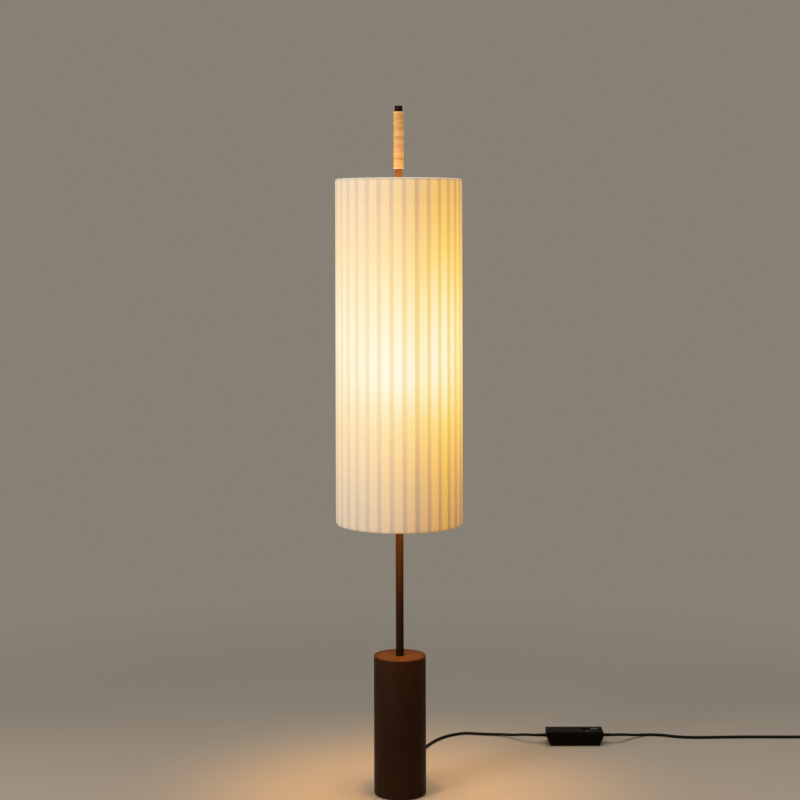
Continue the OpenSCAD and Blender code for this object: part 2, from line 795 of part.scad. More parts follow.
module dimmer_screws() {
  color("#a9a9a6") in_dimmer() at_bosses() {
    translate([0, 0, 1]) cylinder(d = case_screw_d + 2, h = 2);
    translate([0, 0, 1]) cylinder(d = case_screw_d, h = split_z + 6);
  }
}

module dimmer_board() {
  color("#2f5a35") in_dimmer() translate([-50, -11, board_z]) cube([100, 22, board_t]);
}

module dimmer_track() {
  track_l = knob_l + knob_travel + 6;
  color("#55524c") in_dimmer()
    translate([knob_x + knob_l / 2 + 2 - track_l, knob_y - 4, board_top])
      cube([track_l, 8, top_under - 2 * slide_gap - knob_foot_t - board_top]);
}

module dimmer_slider() {
  color("#3b3a37") in_dimmer() {
    translate([knob_x - knob_l / 2, knob_y - knob_w / 2, top_under - slide_gap - knob_foot_t / 2])
      cube([knob_l, knob_w, case_wall + slide_gap + knob_foot_t / 2 + knob_rise]);
    translate([knob_x - knob_l / 2 - 2, knob_y - knob_w / 2 - 1.2, top_under - slide_gap - knob_foot_t])
      cube([knob_l + 4, knob_w + 2.4, knob_foot_t]);
  }
}

module dimmer_lens() {
  color("#e9efe0") in_dimmer() translate([lens_x, lens_y, 0]) {
    translate([0, 0, top_under - 1]) cylinder(d = lens_d + 1.6, h = 1);
    translate([0, 0, top_under - 1]) cylinder(d = lens_d, h = case_wall + 1.4);
  }
}

module dimmer_reliefs() {
  color("#14120f") in_dimmer() for (side = [0, 180]) rotate([0, 0, side])
    translate([dimmer_l / 2, 0, split_z]) rotate([0, 90, 0]) difference() {
      union() {
        translate([0, 0, -case_wall - 3]) cylinder(d = dimmer_relief_d, h = case_wall + 3.5);
        cylinder(d1 = dimmer_relief_d, d2 = cord_d + 0.8, h = dimmer_relief_l);
      }
      translate([0, 0, -case_wall - 4]) cylinder(d = cord_d + 2 * fit, h = dimmer_relief_l + 10);
    }
}

module dimmer_cord_ends() {
  color("#1a1512") in_dimmer() for (side = [0, 180]) rotate([0, 0, side])
    translate([dimmer_l / 2 - case_wall - 6, 0, split_z]) rotate([0, 90, 0])
      cylinder(d = cord_d, h = case_wall + 6 + dimmer_relief_l);
}

// ---------- cord outside the lamp ----------

module cord_to_dimmer() {
  color("#1a1512") tube(smooth_route(lamp_route, 2), cord_r, 8);
}

module cord_to_coil() {
  color("#1a1512") tube(smooth_route(mains_route, 2), cord_r, 8);
}

module cord_to_plug() {
  color("#1a1512") tube(smooth_route(plug_route, 2), cord_r, 8);
}

// Coil: turns t spiral in on the floor, climb half a turn where they reverse, and spiral out
function coil_point(t) =
  let (r = coil_outer_r - coil_pitch * min(t, coil_turns - t),
    up = min(max((t - coil_turns / 2 + 0.25) / 0.5, 0), 1),
    a = 90 - 360 * t)
  [coil_x + r * cos(a), coil_y + r * sin(a), cord_r + coil_layer * up * up * (3 - 2 * up)];

coil_path = concat([coil_point(0) - [cord_d, 0, 0]],
  [for (i = [0 : 24 * coil_turns]) coil_point(i / 24)],
  [coil_point(coil_turns) + [cord_d, 0, 0]]);

// Least gap between two turns, on the points of the path more than half a turn apart
coil_gap = min([for (i = [0 : len(coil_path) - 14]) for (j = [i + 13 : len(coil_path) - 1])
  norm(coil_path[i] - coil_path[j])]) - cord_d;
echo(coil_gap = coil_gap);

module cord_coil() {
  color("#1a1512") tube(coil_path, cord_r, 6);
}

// ---------- plug ----------

// Places its children at the plug's face, with the pins along +X
module at_plug() {
  translate([plug_x, plug_y, plug_t / 2]) children();
}

module plug_body() {
  half = plug_w / 2;
  color("#14120f") at_plug() difference() {
    union() {
      intersection() {
        linear_extrude(plug_t, center = true)
          polygon([[-plug_l, -7], [-plug_l + 6, -10], [-plug_l / 2, -half], [-1, -half],
            [0, 1 - half], [0, half - 1], [-1, half], [-plug_l / 2, half], [-plug_l + 6, 10],
            [-plug_l, 7]]);
        rotate([90, 0, 90]) translate([0, 0, -plug_l]) linear_extrude(plug_l)
          polygon([[-half, -2], [4 - half, -plug_t / 2], [half - 4, -plug_t / 2], [half, -2],
            [half, 2], [half - 4, plug_t / 2], [4 - half, plug_t / 2], [-half, 2]]);
      }
      translate([-plug_l - plug_relief_l, 0, 0]) rotate([0, 90, 0])
        cylinder(d1 = cord_d + 1.2, d2 = 11, h = plug_relief_l + 1);
    }
    for (y = [-pin_spacing / 2, pin_spacing / 2]) translate([-pin_root_l - fit, y, 0])
      rotate([0, 90, 0]) cylinder(d = pin_d - 1 + 2 * fit, h = pin_root_l + 1);
  }
}

module plug_pins() {
  color("#c9c5bb") at_plug() for (y = [-pin_spacing / 2, pin_spacing / 2])
    translate([0, y, 0]) rotate([0, 90, 0]) {
      cylinder(d = pin_d, h = pin_l);
      translate([0, 0, -pin_root_l]) cylinder(d = pin_d - 1, h = pin_root_l);
    }
}

foot_pad();
base_plate();
base_screws();
counterweight();
base_sleeve();
base_top_disc();
threaded_rod();
rod_nut();
rod_washer();
stem_insert();
stem();
end_cap();
grip_winding();
exit_relief();
inner_cord();
lower_lead();
upper_lead();
lower_strip();
upper_strip();
collar_screws();
lower_lampholder();
upper_lampholder();
lampholder_nuts();
lower_globe();
lower_screw_cap();
upper_globe();
upper_screw_cap();
shade_flange();
flange_screw();
shade_hub();
shade_arms();
upper_ring();
lower_ring();
shade_struts();
shade_ribbons();
cord_to_dimmer();
dimmer_reliefs();
dimmer_cord_ends();
dimmer_lower_case();
dimmer_upper_case();
dimmer_board();
dimmer_track();
dimmer_slider();
dimmer_lens();
dimmer_screws();
cord_to_coil();
cord_coil();
cord_to_plug();
plug_body();
plug_pins();
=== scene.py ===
"""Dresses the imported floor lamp: finishes for its CAD nodes, finely made pieces in place of the
plain ones, and the studio that it stands in. Metres, +Z up, the lamp's foot at the origin, front -Y."""

import json
from contextlib import contextmanager
from functools import partial, partialmethod
from math import atan2, cos, dist, hypot, pi, radians, sin, tau

import bmesh
import bpy
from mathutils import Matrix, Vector

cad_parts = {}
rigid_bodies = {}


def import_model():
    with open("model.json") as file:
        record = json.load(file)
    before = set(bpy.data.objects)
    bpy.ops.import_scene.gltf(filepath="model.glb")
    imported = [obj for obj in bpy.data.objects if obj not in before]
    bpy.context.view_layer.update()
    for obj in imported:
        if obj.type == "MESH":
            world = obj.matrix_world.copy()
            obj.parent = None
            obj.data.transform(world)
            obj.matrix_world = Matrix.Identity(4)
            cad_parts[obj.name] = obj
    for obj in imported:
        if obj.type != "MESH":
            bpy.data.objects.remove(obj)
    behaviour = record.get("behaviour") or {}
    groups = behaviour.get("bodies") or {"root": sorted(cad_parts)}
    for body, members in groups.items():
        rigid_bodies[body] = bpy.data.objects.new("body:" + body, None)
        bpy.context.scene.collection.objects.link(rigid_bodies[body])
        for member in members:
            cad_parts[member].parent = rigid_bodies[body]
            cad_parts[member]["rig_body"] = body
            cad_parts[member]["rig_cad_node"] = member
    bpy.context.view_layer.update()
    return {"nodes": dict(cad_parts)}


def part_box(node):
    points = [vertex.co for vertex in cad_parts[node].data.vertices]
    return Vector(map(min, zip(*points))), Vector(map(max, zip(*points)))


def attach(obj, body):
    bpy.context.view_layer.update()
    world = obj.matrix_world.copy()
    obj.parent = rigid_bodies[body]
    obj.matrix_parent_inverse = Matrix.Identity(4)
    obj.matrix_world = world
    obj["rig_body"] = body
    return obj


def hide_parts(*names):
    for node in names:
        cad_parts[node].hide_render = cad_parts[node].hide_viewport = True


bl_info = {
    "name": "Ribbon shade floor lamp",
    "version": (1, 0, 0),
    "blender": (4, 5, 0),
    "location": "3D View > Sidebar > Lamp",
    "description": "Builds the looks of a floor lamp with a cotton ribbon shade over its CAD frame",
    "category": "Object",
}

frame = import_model()
MM = 0.001
TOUCHING = 1e-6  # points closer than this are one
LAMPS = ("lower", "upper")
LEVEL = (0, 0, 0)
TO_THE_RIGHT = (0, radians(90), 0)


def size(node, axis):
    """A CAD node's size along an axis."""
    low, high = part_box(node)
    return high[axis] - low[axis]


def levels(node):
    """The heights of a CAD node's foot and top."""
    low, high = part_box(node)
    return low.z, high.z


def foot_of(node):
    return levels(node)[0]


def top_of(node):
    return levels(node)[1]


def middle_of(node):
    """Where a CAD node's middle is, seen from above."""
    low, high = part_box(node)
    return (low.x + high.x) / 2, (low.y + high.y) / 2


def in_mm(points):
    """Turns points given in millimetres into metres."""
    return [tuple(value * MM for value in point) for point in points]


def eased(share):
    """Makes a share that runs straight from 0 to 1 start and stop softly."""
    return share * share * (3 - 2 * share)


# ---------- settings ----------


def length_value(label, text, default):
    return bpy.props.FloatProperty(
        name=label, description=text, default=default, min=0.0, precision=4, subtype="DISTANCE", unit="LENGTH"
    )


def colour_value(label, text, default):
    return bpy.props.FloatVectorProperty(
        name=label, description=text, default=default, min=0.0, max=1.0, size=3, subtype="COLOR"
    )


class LAMP_PG_sizes(bpy.types.PropertyGroup):
    """Sizes that the modelled pieces start from"""

    cord_diameter: length_value("Cord diameter", "Outer diameter of the supply cord", 6 * MM)
    ribbon_width: length_value("Ribbon width", "Width of the cotton ribbon", 35 * MM)
    ribbon_thickness: length_value("Ribbon thickness", "Thickness of the cotton", 0.4 * MM)
    ribbon_tail: length_value("Ribbon tail", "Length of a ribbon turned in behind each ring", 22 * MM)
    ribbon_count: bpy.props.IntProperty(
        name="Ribbons", description="Ribbons round the shade", default=32, min=8, max=64
    )
    first_edge: bpy.props.FloatProperty(
        name="First edge", description="Angle from the front to the first ribbon's outer edge",
        default=radians(2.6), subtype="ANGLE", unit="ROTATION",
    )
    winding_turns: bpy.props.IntProperty(
        name="Winding turns", description="Turns of cane round the grip", default=41, min=10, max=80
    )
    sleeve_wall: length_value("Sleeve wall", "Wall of the base sleeve", 2 * MM)
    edge_round: length_value("Edge rounding", "Rounding of turned and cast edges", 0.6 * MM)


class LAMP_PG_colours(bpy.types.PropertyGroup):
    """Colours of the finishes"""

    bronze: colour_value("Bronze paint", "Dark brown powder coat", (0.027, 0.0106, 0.0042))
    cane: colour_value("Cane", "Peeled cane of the grip", (0.77, 0.42, 0.14))
    cotton: colour_value("Cotton", "Natural cotton ribbon", (0.57, 0.52, 0.43))
    black_plastic: colour_value("Black plastic", "Dimmer and plug", (0.0055, 0.005, 0.0035))
    cord: colour_value("Cord", "Sheath of the supply cord", (0.0065, 0.005, 0.0036))
    enamel: colour_value("Enamel", "Wire frame of the shade", (0.8, 0.76, 0.68))
    holder: colour_value("Lampholder", "Moulded lampholders", (0.78, 0.75, 0.68))
    opal: colour_value("Opal glass", "Glow of the bulbs", (1.0, 0.86, 0.62))


class LAMP_PG_studio(bpy.types.PropertyGroup):
    """The studio round the lamp"""

    floor: colour_value("Floor", "Floor in front of the lamp", (0.356, 0.292, 0.226))
    backdrop: colour_value("Backdrop", "Backdrop behind the lamp", (0.245, 0.217, 0.176))
    camera_distance: length_value("Camera distance", "From the lamp to the camera", 3.53)
    camera_height: length_value("Camera height", "Height of the camera over the floor", 1.151)
    lens: bpy.props.FloatProperty(
        name="Lens", description="Focal length of the camera", default=77.9, subtype="DISTANCE_CAMERA"
    )


# ---------- modelling ----------


def deselect_all():
    for piece in bpy.context.selected_objects:
        piece.select_set(False)


def select_only(piece):
    deselect_all()
    piece.select_set(True)
    bpy.context.view_layer.objects.active = piece


@contextmanager
def editing(piece, action="DESELECT"):
    """Edit mode on one piece, with nothing of it selected at first, or all of it."""
    select_only(piece)
    bpy.ops.object.mode_set(mode="EDIT")
    bpy.ops.mesh.select_all(action=action)
    yield
    bpy.ops.object.mode_set(mode="OBJECT")


def pick(piece, kind, test):
    """In edit mode, selects the edges or faces whose middle passes the test, and nothing else."""
    bpy.ops.mesh.select_mode(type=kind)
    bpy.ops.mesh.select_all(action="DESELECT")
    shape = bmesh.from_edit_mesh(piece.data)
    for part in {"EDGE": shape.edges, "FACE": shape.faces}[kind]:
        middle = sum((corner.co for corner in part.verts), Vector()) / len(part.verts)
        part.select_set(test(middle))
    shape.select_flush_mode()
    bmesh.update_edit_mesh(piece.data)


def named(name):
    """The piece that an operator has just added, with its name."""
    piece = bpy.context.object
    piece.name = name
    piece.data.name = name
    return piece


def added(operator, name, **settings):
    """The piece that an operator adds, with nothing else selected."""
    deselect_all()
    operator(**settings)
    return named(name)


def placed(piece, at=(0, 0, 0), turn=LEVEL):
    """Turns the piece by the three angles, moves it to its place, and leaves both in its mesh."""
    select_only(piece)
    piece.location = at
    piece.rotation_euler = turn
    bpy.ops.object.transform_apply(location=True, rotation=True, scale=True)
    return piece


def copies(piece, names):
    """The piece and copies of it with their own meshes, named in turn."""
    others = []
    for name in names[1:]:
        select_only(piece)
        bpy.ops.object.duplicate(linked=False)
        others.append(named(name))
    piece.name = piece.data.name = names[0]
    return [piece, *others]


def repeated(piece, places):
    """The piece and copies of it, one at each place and turned by that place's angles."""
    pieces = copies(piece, [piece.name] * len(places))
    return [placed(each, at, turn) for each, (at, turn) in zip(pieces, places)]


def block(name, sizes, at=(0, 0, 0)):
    """A box to model from."""
    piece = added(bpy.ops.mesh.primitive_cube_add, name, size=1)
    piece.scale = sizes
    return placed(piece, at)


def joined(pieces, name):
    select_only(pieces[0])
    for piece in pieces[1:]:
        piece.select_set(True)
    bpy.ops.object.join()
    return named(name)


def modified(piece, kind, **settings):
    """Adds a modifier with its settings and applies it."""
    select_only(piece)
    modifier = piece.modifiers.new(kind.title(), kind)
    for key, value in settings.items():
        setattr(modifier, key, value)
    bpy.ops.object.modifier_apply(modifier=modifier.name)
    return piece


def rounded(piece, width, segments=2, angle=35):
    """Rounds every edge that is sharper than the angle, in degrees, and merges points that meet."""
    modified(piece, "BEVEL", width=width, segments=segments, limit_method="ANGLE", angle_limit=radians(angle),
             harden_normals=False)
    with editing(piece, "SELECT"):
        bpy.ops.mesh.remove_doubles(threshold=TOUCHING)
    return piece


def turned(name, outline, sides=64):
    """A turned piece about +Z. A circle of the first (radius, height) is extruded and scaled on to
    each next one. A tube's outline comes back to its start, and any other one is closed by flat ends."""
    tube = outline[0] == outline[-1]
    radius, height = outline[0]
    piece = added(bpy.ops.mesh.primitive_circle_add, name, vertices=sides, radius=radius,
                  fill_type="NOTHING" if tube else "NGON")
    placed(piece, (0, 0, height))
    with editing(piece, "SELECT"):
        for next_radius, next_height in outline[1:]:
            bpy.ops.mesh.extrude_region_move(
                TRANSFORM_OT_translate={"value": (0, 0, next_height - height)}
            )
            scale = next_radius / radius
            bpy.ops.transform.resize(value=(scale, scale, 1), center_override=(0, 0, next_height))
            radius, height = next_radius, next_height
        bpy.ops.mesh.select_all(action="SELECT")
        bpy.ops.mesh.remove_doubles(threshold=TOUCHING)
        bpy.ops.mesh.normals_make_consistent(inside=False)
    return piece


def pipe(name, bore, radius, low, high, sides=64):
    """A turned tube between two heights."""
    return turned(name, [(bore, low), (radius, low), (radius, high), (bore, high), (bore, low)], sides)


def softened(node, name, width, segments=2):
    """A copy of a CAD node with its triangles merged, its flat faces joined and its edges rounded."""
    piece = frame["nodes"][node].copy()
    piece.data = piece.data.copy()
    piece.parent = None
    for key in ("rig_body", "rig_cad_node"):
        del piece[key]
    bpy.context.scene.collection.objects.link(piece)
    select_only(piece)
    named(name)
    bpy.ops.mesh.customdata_custom_splitnormals_clear()
    with editing(piece, "SELECT"):
        bpy.ops.mesh.remove_doubles(threshold=TOUCHING)
        bpy.ops.mesh.dissolve_limited(angle_limit=radians(0.5))
    return rounded(piece, width, segments)


def tube_along(name, line, radius, sides=6):
    """A closed round tube along a line of points."""
    curve = bpy.data.curves.new(name, "CURVE")
    curve.dimensions = "3D"
    curve.bevel_depth = radius
    curve.bevel_resolution = sides
    curve.use_fill_caps = True
    spline = curve.splines.new("POLY")
    spline.points.add(len(line) - 1)
    for point, place in zip(spline.points, line):
        point.co = (*place, 1)
    piece = bpy.data.objects.new(name, curve)
    bpy.context.scene.collection.objects.link(piece)
    select_only(piece)
    bpy.ops.object.convert(target="MESH")
    return named(name)


def quarter_bend(radius, steps):
    """Points (along, up) of a line that bends from level to upright."""
    turns = [pi / 2 * k / steps for k in range(steps + 1)]
    return [(radius * sin(turn), radius * (1 - cos(turn))) for turn in turns]


def helix(outline, pitch, turns, steps=40):
    """Winds an open outline round the Z axis and closes its ends."""
    modified(outline, "SCREW", axis="Z", angle=tau, screw_offset=pitch, iterations=turns, steps=steps,
             render_steps=steps, use_smooth_shade=True, use_merge_vertices=False)
    with editing(outline, "SELECT"):
        bpy.ops.mesh.fill_holes(sides=64)
        bpy.ops.mesh.normals_make_consistent(inside=False)
    return outline


def dressed(piece, material, replaces=(), body="stand", smooth=35):
    """Gives a finished piece its material, the CAD nodes that it stands for and its body."""
    select_only(piece)
    bpy.ops.object.shade_smooth_by_angle(angle=radians(smooth))
    piece.data.materials.clear()
    piece.data.materials.append(material)
    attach(piece, body)
    if replaces:
        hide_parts(*replaces)
    return piece


def finish_node(node, material):
    """Gives a carried-over CAD node its material."""
    mesh = frame["nodes"][node].data
    mesh.materials.clear()
    mesh.materials.append(material)


# ---------- materials ----------


def rgba(colour):
    return (*colour, 1.0)


def shaded(colour, factor):
    """A colour made lighter or darker by a factor."""
    return tuple(min(1.0, channel * factor) for channel in colour)


class Number:
    """A number that a material's nodes work out. Arithmetic on it adds Math nodes."""

    def __init__(self, nodes, socket):
        self.nodes = nodes
        self.socket = socket

    def then(self, operation, *others, swap=False):
        values = [self, *others]
        if swap:
            values.reverse()
        node = self.nodes.node("Math", {"operation": operation}, dict(enumerate(values)))
        return Number(self.nodes, node.outputs[0])

    __add__ = __radd__ = partialmethod(then, "ADD")
    __mul__ = __rmul__ = partialmethod(then, "MULTIPLY")
    __sub__ = partialmethod(then, "SUBTRACT")
    __rsub__ = partialmethod(then, "SUBTRACT", swap=True)
    __truediv__ = partialmethod(then, "DIVIDE")
    __rtruediv__ = partialmethod(then, "DIVIDE", swap=True)
    __pow__ = partialmethod(then, "POWER")
    __rpow__ = partialmethod(then, "POWER", swap=True)
    fraction = partialmethod(then, "FRACT")
    whole = partialmethod(then, "FLOOR")
    root = partialmethod(then, "SQRT")
    sine = partialmethod(then, "SINE")

    def waves(self, length):
        """A sine with one crest in each such length."""
        return (self * (tau / length)).sine()

    def held(self):
        """Kept between 0 and 1."""
        return self.then("MAXIMUM", 0.0).then("MINIMUM", 1.0)

    def ramp(self, start, end):
        """0 at start and before, 1 at end and beyond, straight between them."""
        return ((self - start) * (1 / (end - start))).held()

    def bell(self, middle, width):
        """1 at the middle, falling off smoothly on both sides."""
        off = (self - middle) * (1 / width)
        return (off * off * -1).then("EXPONENT")


class Nodes:
    """The nodes of a material or of the world."""

    def __init__(self, tree):
        self.tree = tree

    def node(self, kind, settings=None, inputs=None):
        """Adds a node: its type, its settings, then the values or links of its sockets."""
        node = self.tree.nodes.new("ShaderNode" + kind)
        for key, value in (settings or {}).items():
            if key == "stops":
                while len(node.color_ramp.elements) < len(value):
                    node.color_ramp.elements.new(0.5)
                for element, (position, colour) in zip(node.color_ramp.elements, value):
                    element.position = position
                    element.color = rgba(colour)
            else:
                setattr(node, key, value)
        for key, value in (inputs or {}).items():
            self.feed(node.inputs[key], value)
        return node

    def feed(self, socket, value):
        """Links a socket to a node's value, or sets it to a plain one."""
        value = getattr(value, "socket", value)
        if isinstance(value, bpy.types.NodeSocket):
            self.tree.links.new(value, socket)
        else:
            socket.default_value = rgba(value) if socket.type == "RGBA" and len(value) == 3 else value

    def place(self):
        """The point's place on the object, as a vector socket."""
        return self.node("TexCoord").outputs["Object"]

    def along(self, vector):
        """The three numbers of a vector socket."""
        node = self.node("SeparateXYZ", inputs={0: vector})
        return [Number(self, node.outputs[i]) for i in range(3)]

    def vector(self, x, y, z):
        return self.node("CombineXYZ", inputs={0: x, 1: y, 2: z}).outputs[0]

    def times(self, vector, factors):
        """A vector socket, or a colour's, with its three parts multiplied."""
        return self.node("VectorMath", {"operation": "MULTIPLY"}, {0: vector, 1: factors}).outputs[0]

    def noise(self, per_metre, detail, stretch=(1, 1, 1), place=None):
        """Soft random patches, so many to a metre, drawn out where the stretch is below 1."""
        place = self.times(place or self.place(), stretch)
        node = self.node("TexNoise", inputs={"Vector": place, "Scale": per_metre, "Detail": detail})
        return Number(self, node.outputs[0])

    def cells(self, per_metre):
        """Distance to the nearest of scattered points."""
        node = self.node("TexVoronoi", inputs={"Vector": self.place(), "Scale": per_metre})
        return Number(self, node.outputs["Distance"])

    def mix(self, share, a, b):
        """Colour a where share is 0, colour b where it is 1."""
        return self.node("Mix", {"data_type": "RGBA"}, {0: share, 6: a, 7: b}).outputs[2]

    def ramped(self, share, stops):
        return self.node("ValToRGB", {"stops": stops}, {0: share}).outputs[0]

    def blended(self, share, a, b, output):
        """Shader a where share is 0 and b where it is 1, on their way out."""
        both = self.node("MixShader", inputs={0: share, 1: a.outputs[0], 2: b.outputs[0]})
        self.feed(self.tree.nodes[output].inputs["Surface"], both.outputs[0])


class Finish(Nodes):
    """A material under one shader. Constant values go straight on the shader."""

    def __init__(self, name, **constants):
        self.material = bpy.data.materials.new(name)
        self.material.use_nodes = True
        super().__init__(self.material.node_tree)
        self.shader = self.tree.nodes["Principled BSDF"]
        for key, value in constants.items():
            self.show(key.replace("_", " ").title().replace("Ior", "IOR"), value)

    def show(self, name, value):
        self.feed(self.shader.inputs[name], value)

    colour = partialmethod(show, "Base Color")
    roughness = partialmethod(show, "Roughness")
    glow = partialmethod(show, "Emission Color")

    def bump(self, height, depth):
        """Raises the surface by depth metres where height is 1."""
        node = self.node("Bump", inputs={"Strength": 1.0, "Distance": depth, "Height": height})
        self.show("Normal", node.outputs[0])


made = {}


def finish_of(**constants):
    """Lets a function that builds a material give it: built once, from the colours that are set,
    with the shader's constant values."""

    def decorated(build):
        def finish(name=build.__name__, **choices):
            if name not in made:
                made[name] = Finish(name, **constants)
                build(made[name], bpy.context.scene.lamp_colours, **choices)
            return made[name].material

        return finish

    return decorated


def off_axis(x, y):
    """Distance from the Z axis."""
    return (x * x + y * y).root()


def lamp_centre(which):
    """The centre of a bulb's globe."""
    globe = f"{which}_globe"
    return *middle_of(globe), top_of(globe) - size(globe, 0) / 2


def nearness(place, lamp, closest):
    """How near a point is to a bulb: 1 at the closest distance, less by the distance squared."""
    off = [axis - centre for axis, centre in zip(place, lamp)]
    return closest * closest / (off[0] * off[0] + off[1] * off[1] + off[2] * off[2])


# Colours of the bulbs' light painted on the lit stem, from faint to strong.
LIT_BRONZE_GLOW = [
    (0, (0, 0, 0)), (0.3, (0.22, 0.05, 0.01)), (0.56, (0.5, 0.135, 0.028)), (1, (0.85, 0.36, 0.12)),
]


@finish_of(specular_ior_level=0.06)
def bronze(paint, colours, lit=False):
    """Dark brown powder coat: a fine orange peel, faint cloudy tone and rubbed edges. Lit, it also
    carries painted light: the bulbs' warm glow inside the shade and just over it, too strong for the studio's
    lamps."""
    grain = paint.noise(1400, 3)
    cloud = paint.noise(11, 3)
    fleck = paint.noise(2600, 1).ramp(0.62, 0.78)
    tone = paint.mix(cloud.ramp(0.3, 0.7), shaded(colours.bronze, 0.86), shaded(colours.bronze, 1.16))
    paint.colour(paint.mix(fleck * 0.45, tone, shaded(colours.bronze, 2.1)))
    paint.roughness(0.42 + grain * 0.14 + cloud * 0.06)
    paint.bump(paint.noise(520, 1) * 0.6 + grain * 0.4, 0.12 * MM)
    if lit:
        place = paint.along(paint.place())
        # Painted light: the bulbs' warm glow on the stem, stronger nearer them, only inside the shade and just
        # over it.
        lower, upper = (nearness(place, lamp_centre(which), 40 * MM) ** 0.5 for which in LAMPS)
        in_the_shade = place[2].ramp(0.505, 0.75) * place[2].ramp(1.32, 1.255)
        painted_bulb_light = (0.4 + (lower + upper) * 0.6) * in_the_shade
        paint.show("Emission Strength", 1.0)
        paint.glow(paint.ramped(painted_bulb_light, LIT_BRONZE_GLOW))


bronze_paint = partial(bronze, "bronze_paint")
lit_bronze = partial(bronze, "lit_bronze", lit=True)


@finish_of(specular_ior_level=0.4, emission_strength=1.0)
def cane(strip, colours):
    """Peeled cane: fibres along the strip, tone changing from turn to turn, painted shade in the gaps
    between turns, and a painted glow of the bulbs' light, strongest at the foot.
    """
    fibre = strip.noise(420, 3, (0.25, 0.25, 4.0))
    turn = strip.noise(115, 2, (0.12, 0.12, 1.0))
    stain = strip.noise(38, 3)
    x, y, z = strip.along(strip.place())
    depth = off_axis(x, y).ramp(8.9 * MM, 10.2 * MM)
    tones = [(0.3, 0.72), (0.48, 1.0), (0.62, 1.22), (0.8, 1.45)]
    stops = [(position, shaded(colours.cane, factor)) for position, factor in tones]
    tone = strip.ramped(turn * 0.7 + fibre * 0.3, stops)
    aged = strip.mix(stain.ramp(0.5, 0.75) * 0.2, tone, (0.42, 0.22, 0.08))
    # Painted shade: darker where the strip sinks into the gaps between turns.
    seen = strip.mix((1 - depth) * 0.75, aged, (0.16, 0.07, 0.025))
    strip.colour(seen)
    foot, top = levels("grip_winding")
    # Painted light: the bulbs' glow on the cane, even over it, a little stronger towards the foot and strongest
    # at its lowest edge.
    painted_glow_from_below = z.ramp(top, foot) * 0.08 + z.ramp(foot + 3 * MM, foot + 1 * MM) * 0.3 + 0.22
    strip.glow(strip.times(seen, strip.vector(painted_glow_from_below, painted_glow_from_below, painted_glow_from_below)))
    strip.roughness(0.42 + fibre * 0.25)
    strip.bump(fibre, 0.18 * MM)


# Colours of the painted glow, faint to strong: warm where only the bulbs light the cloth, cool and paler where
# the studio's left light also falls.
WARM_GLOW = [
    (0.12, (0.28, 0.105, 0.008)), (0.32, (0.53, 0.235, 0.012)), (0.60, (0.80, 0.45, 0.03)),
    (0.80, (0.84, 0.60, 0.11)), (1.00, (0.84, 0.75, 0.43)), (1.15, (0.88, 0.86, 0.76)),
]
COOL_GLOW = [
    (0.12, (0.21, 0.145, 0.11)), (0.32, (0.37, 0.245, 0.13)), (0.60, (0.58, 0.38, 0.16)),
    (0.80, (0.60, 0.45, 0.18)), (1.00, (0.60, 0.55, 0.34)), (1.15, (0.64, 0.62, 0.50)),
]


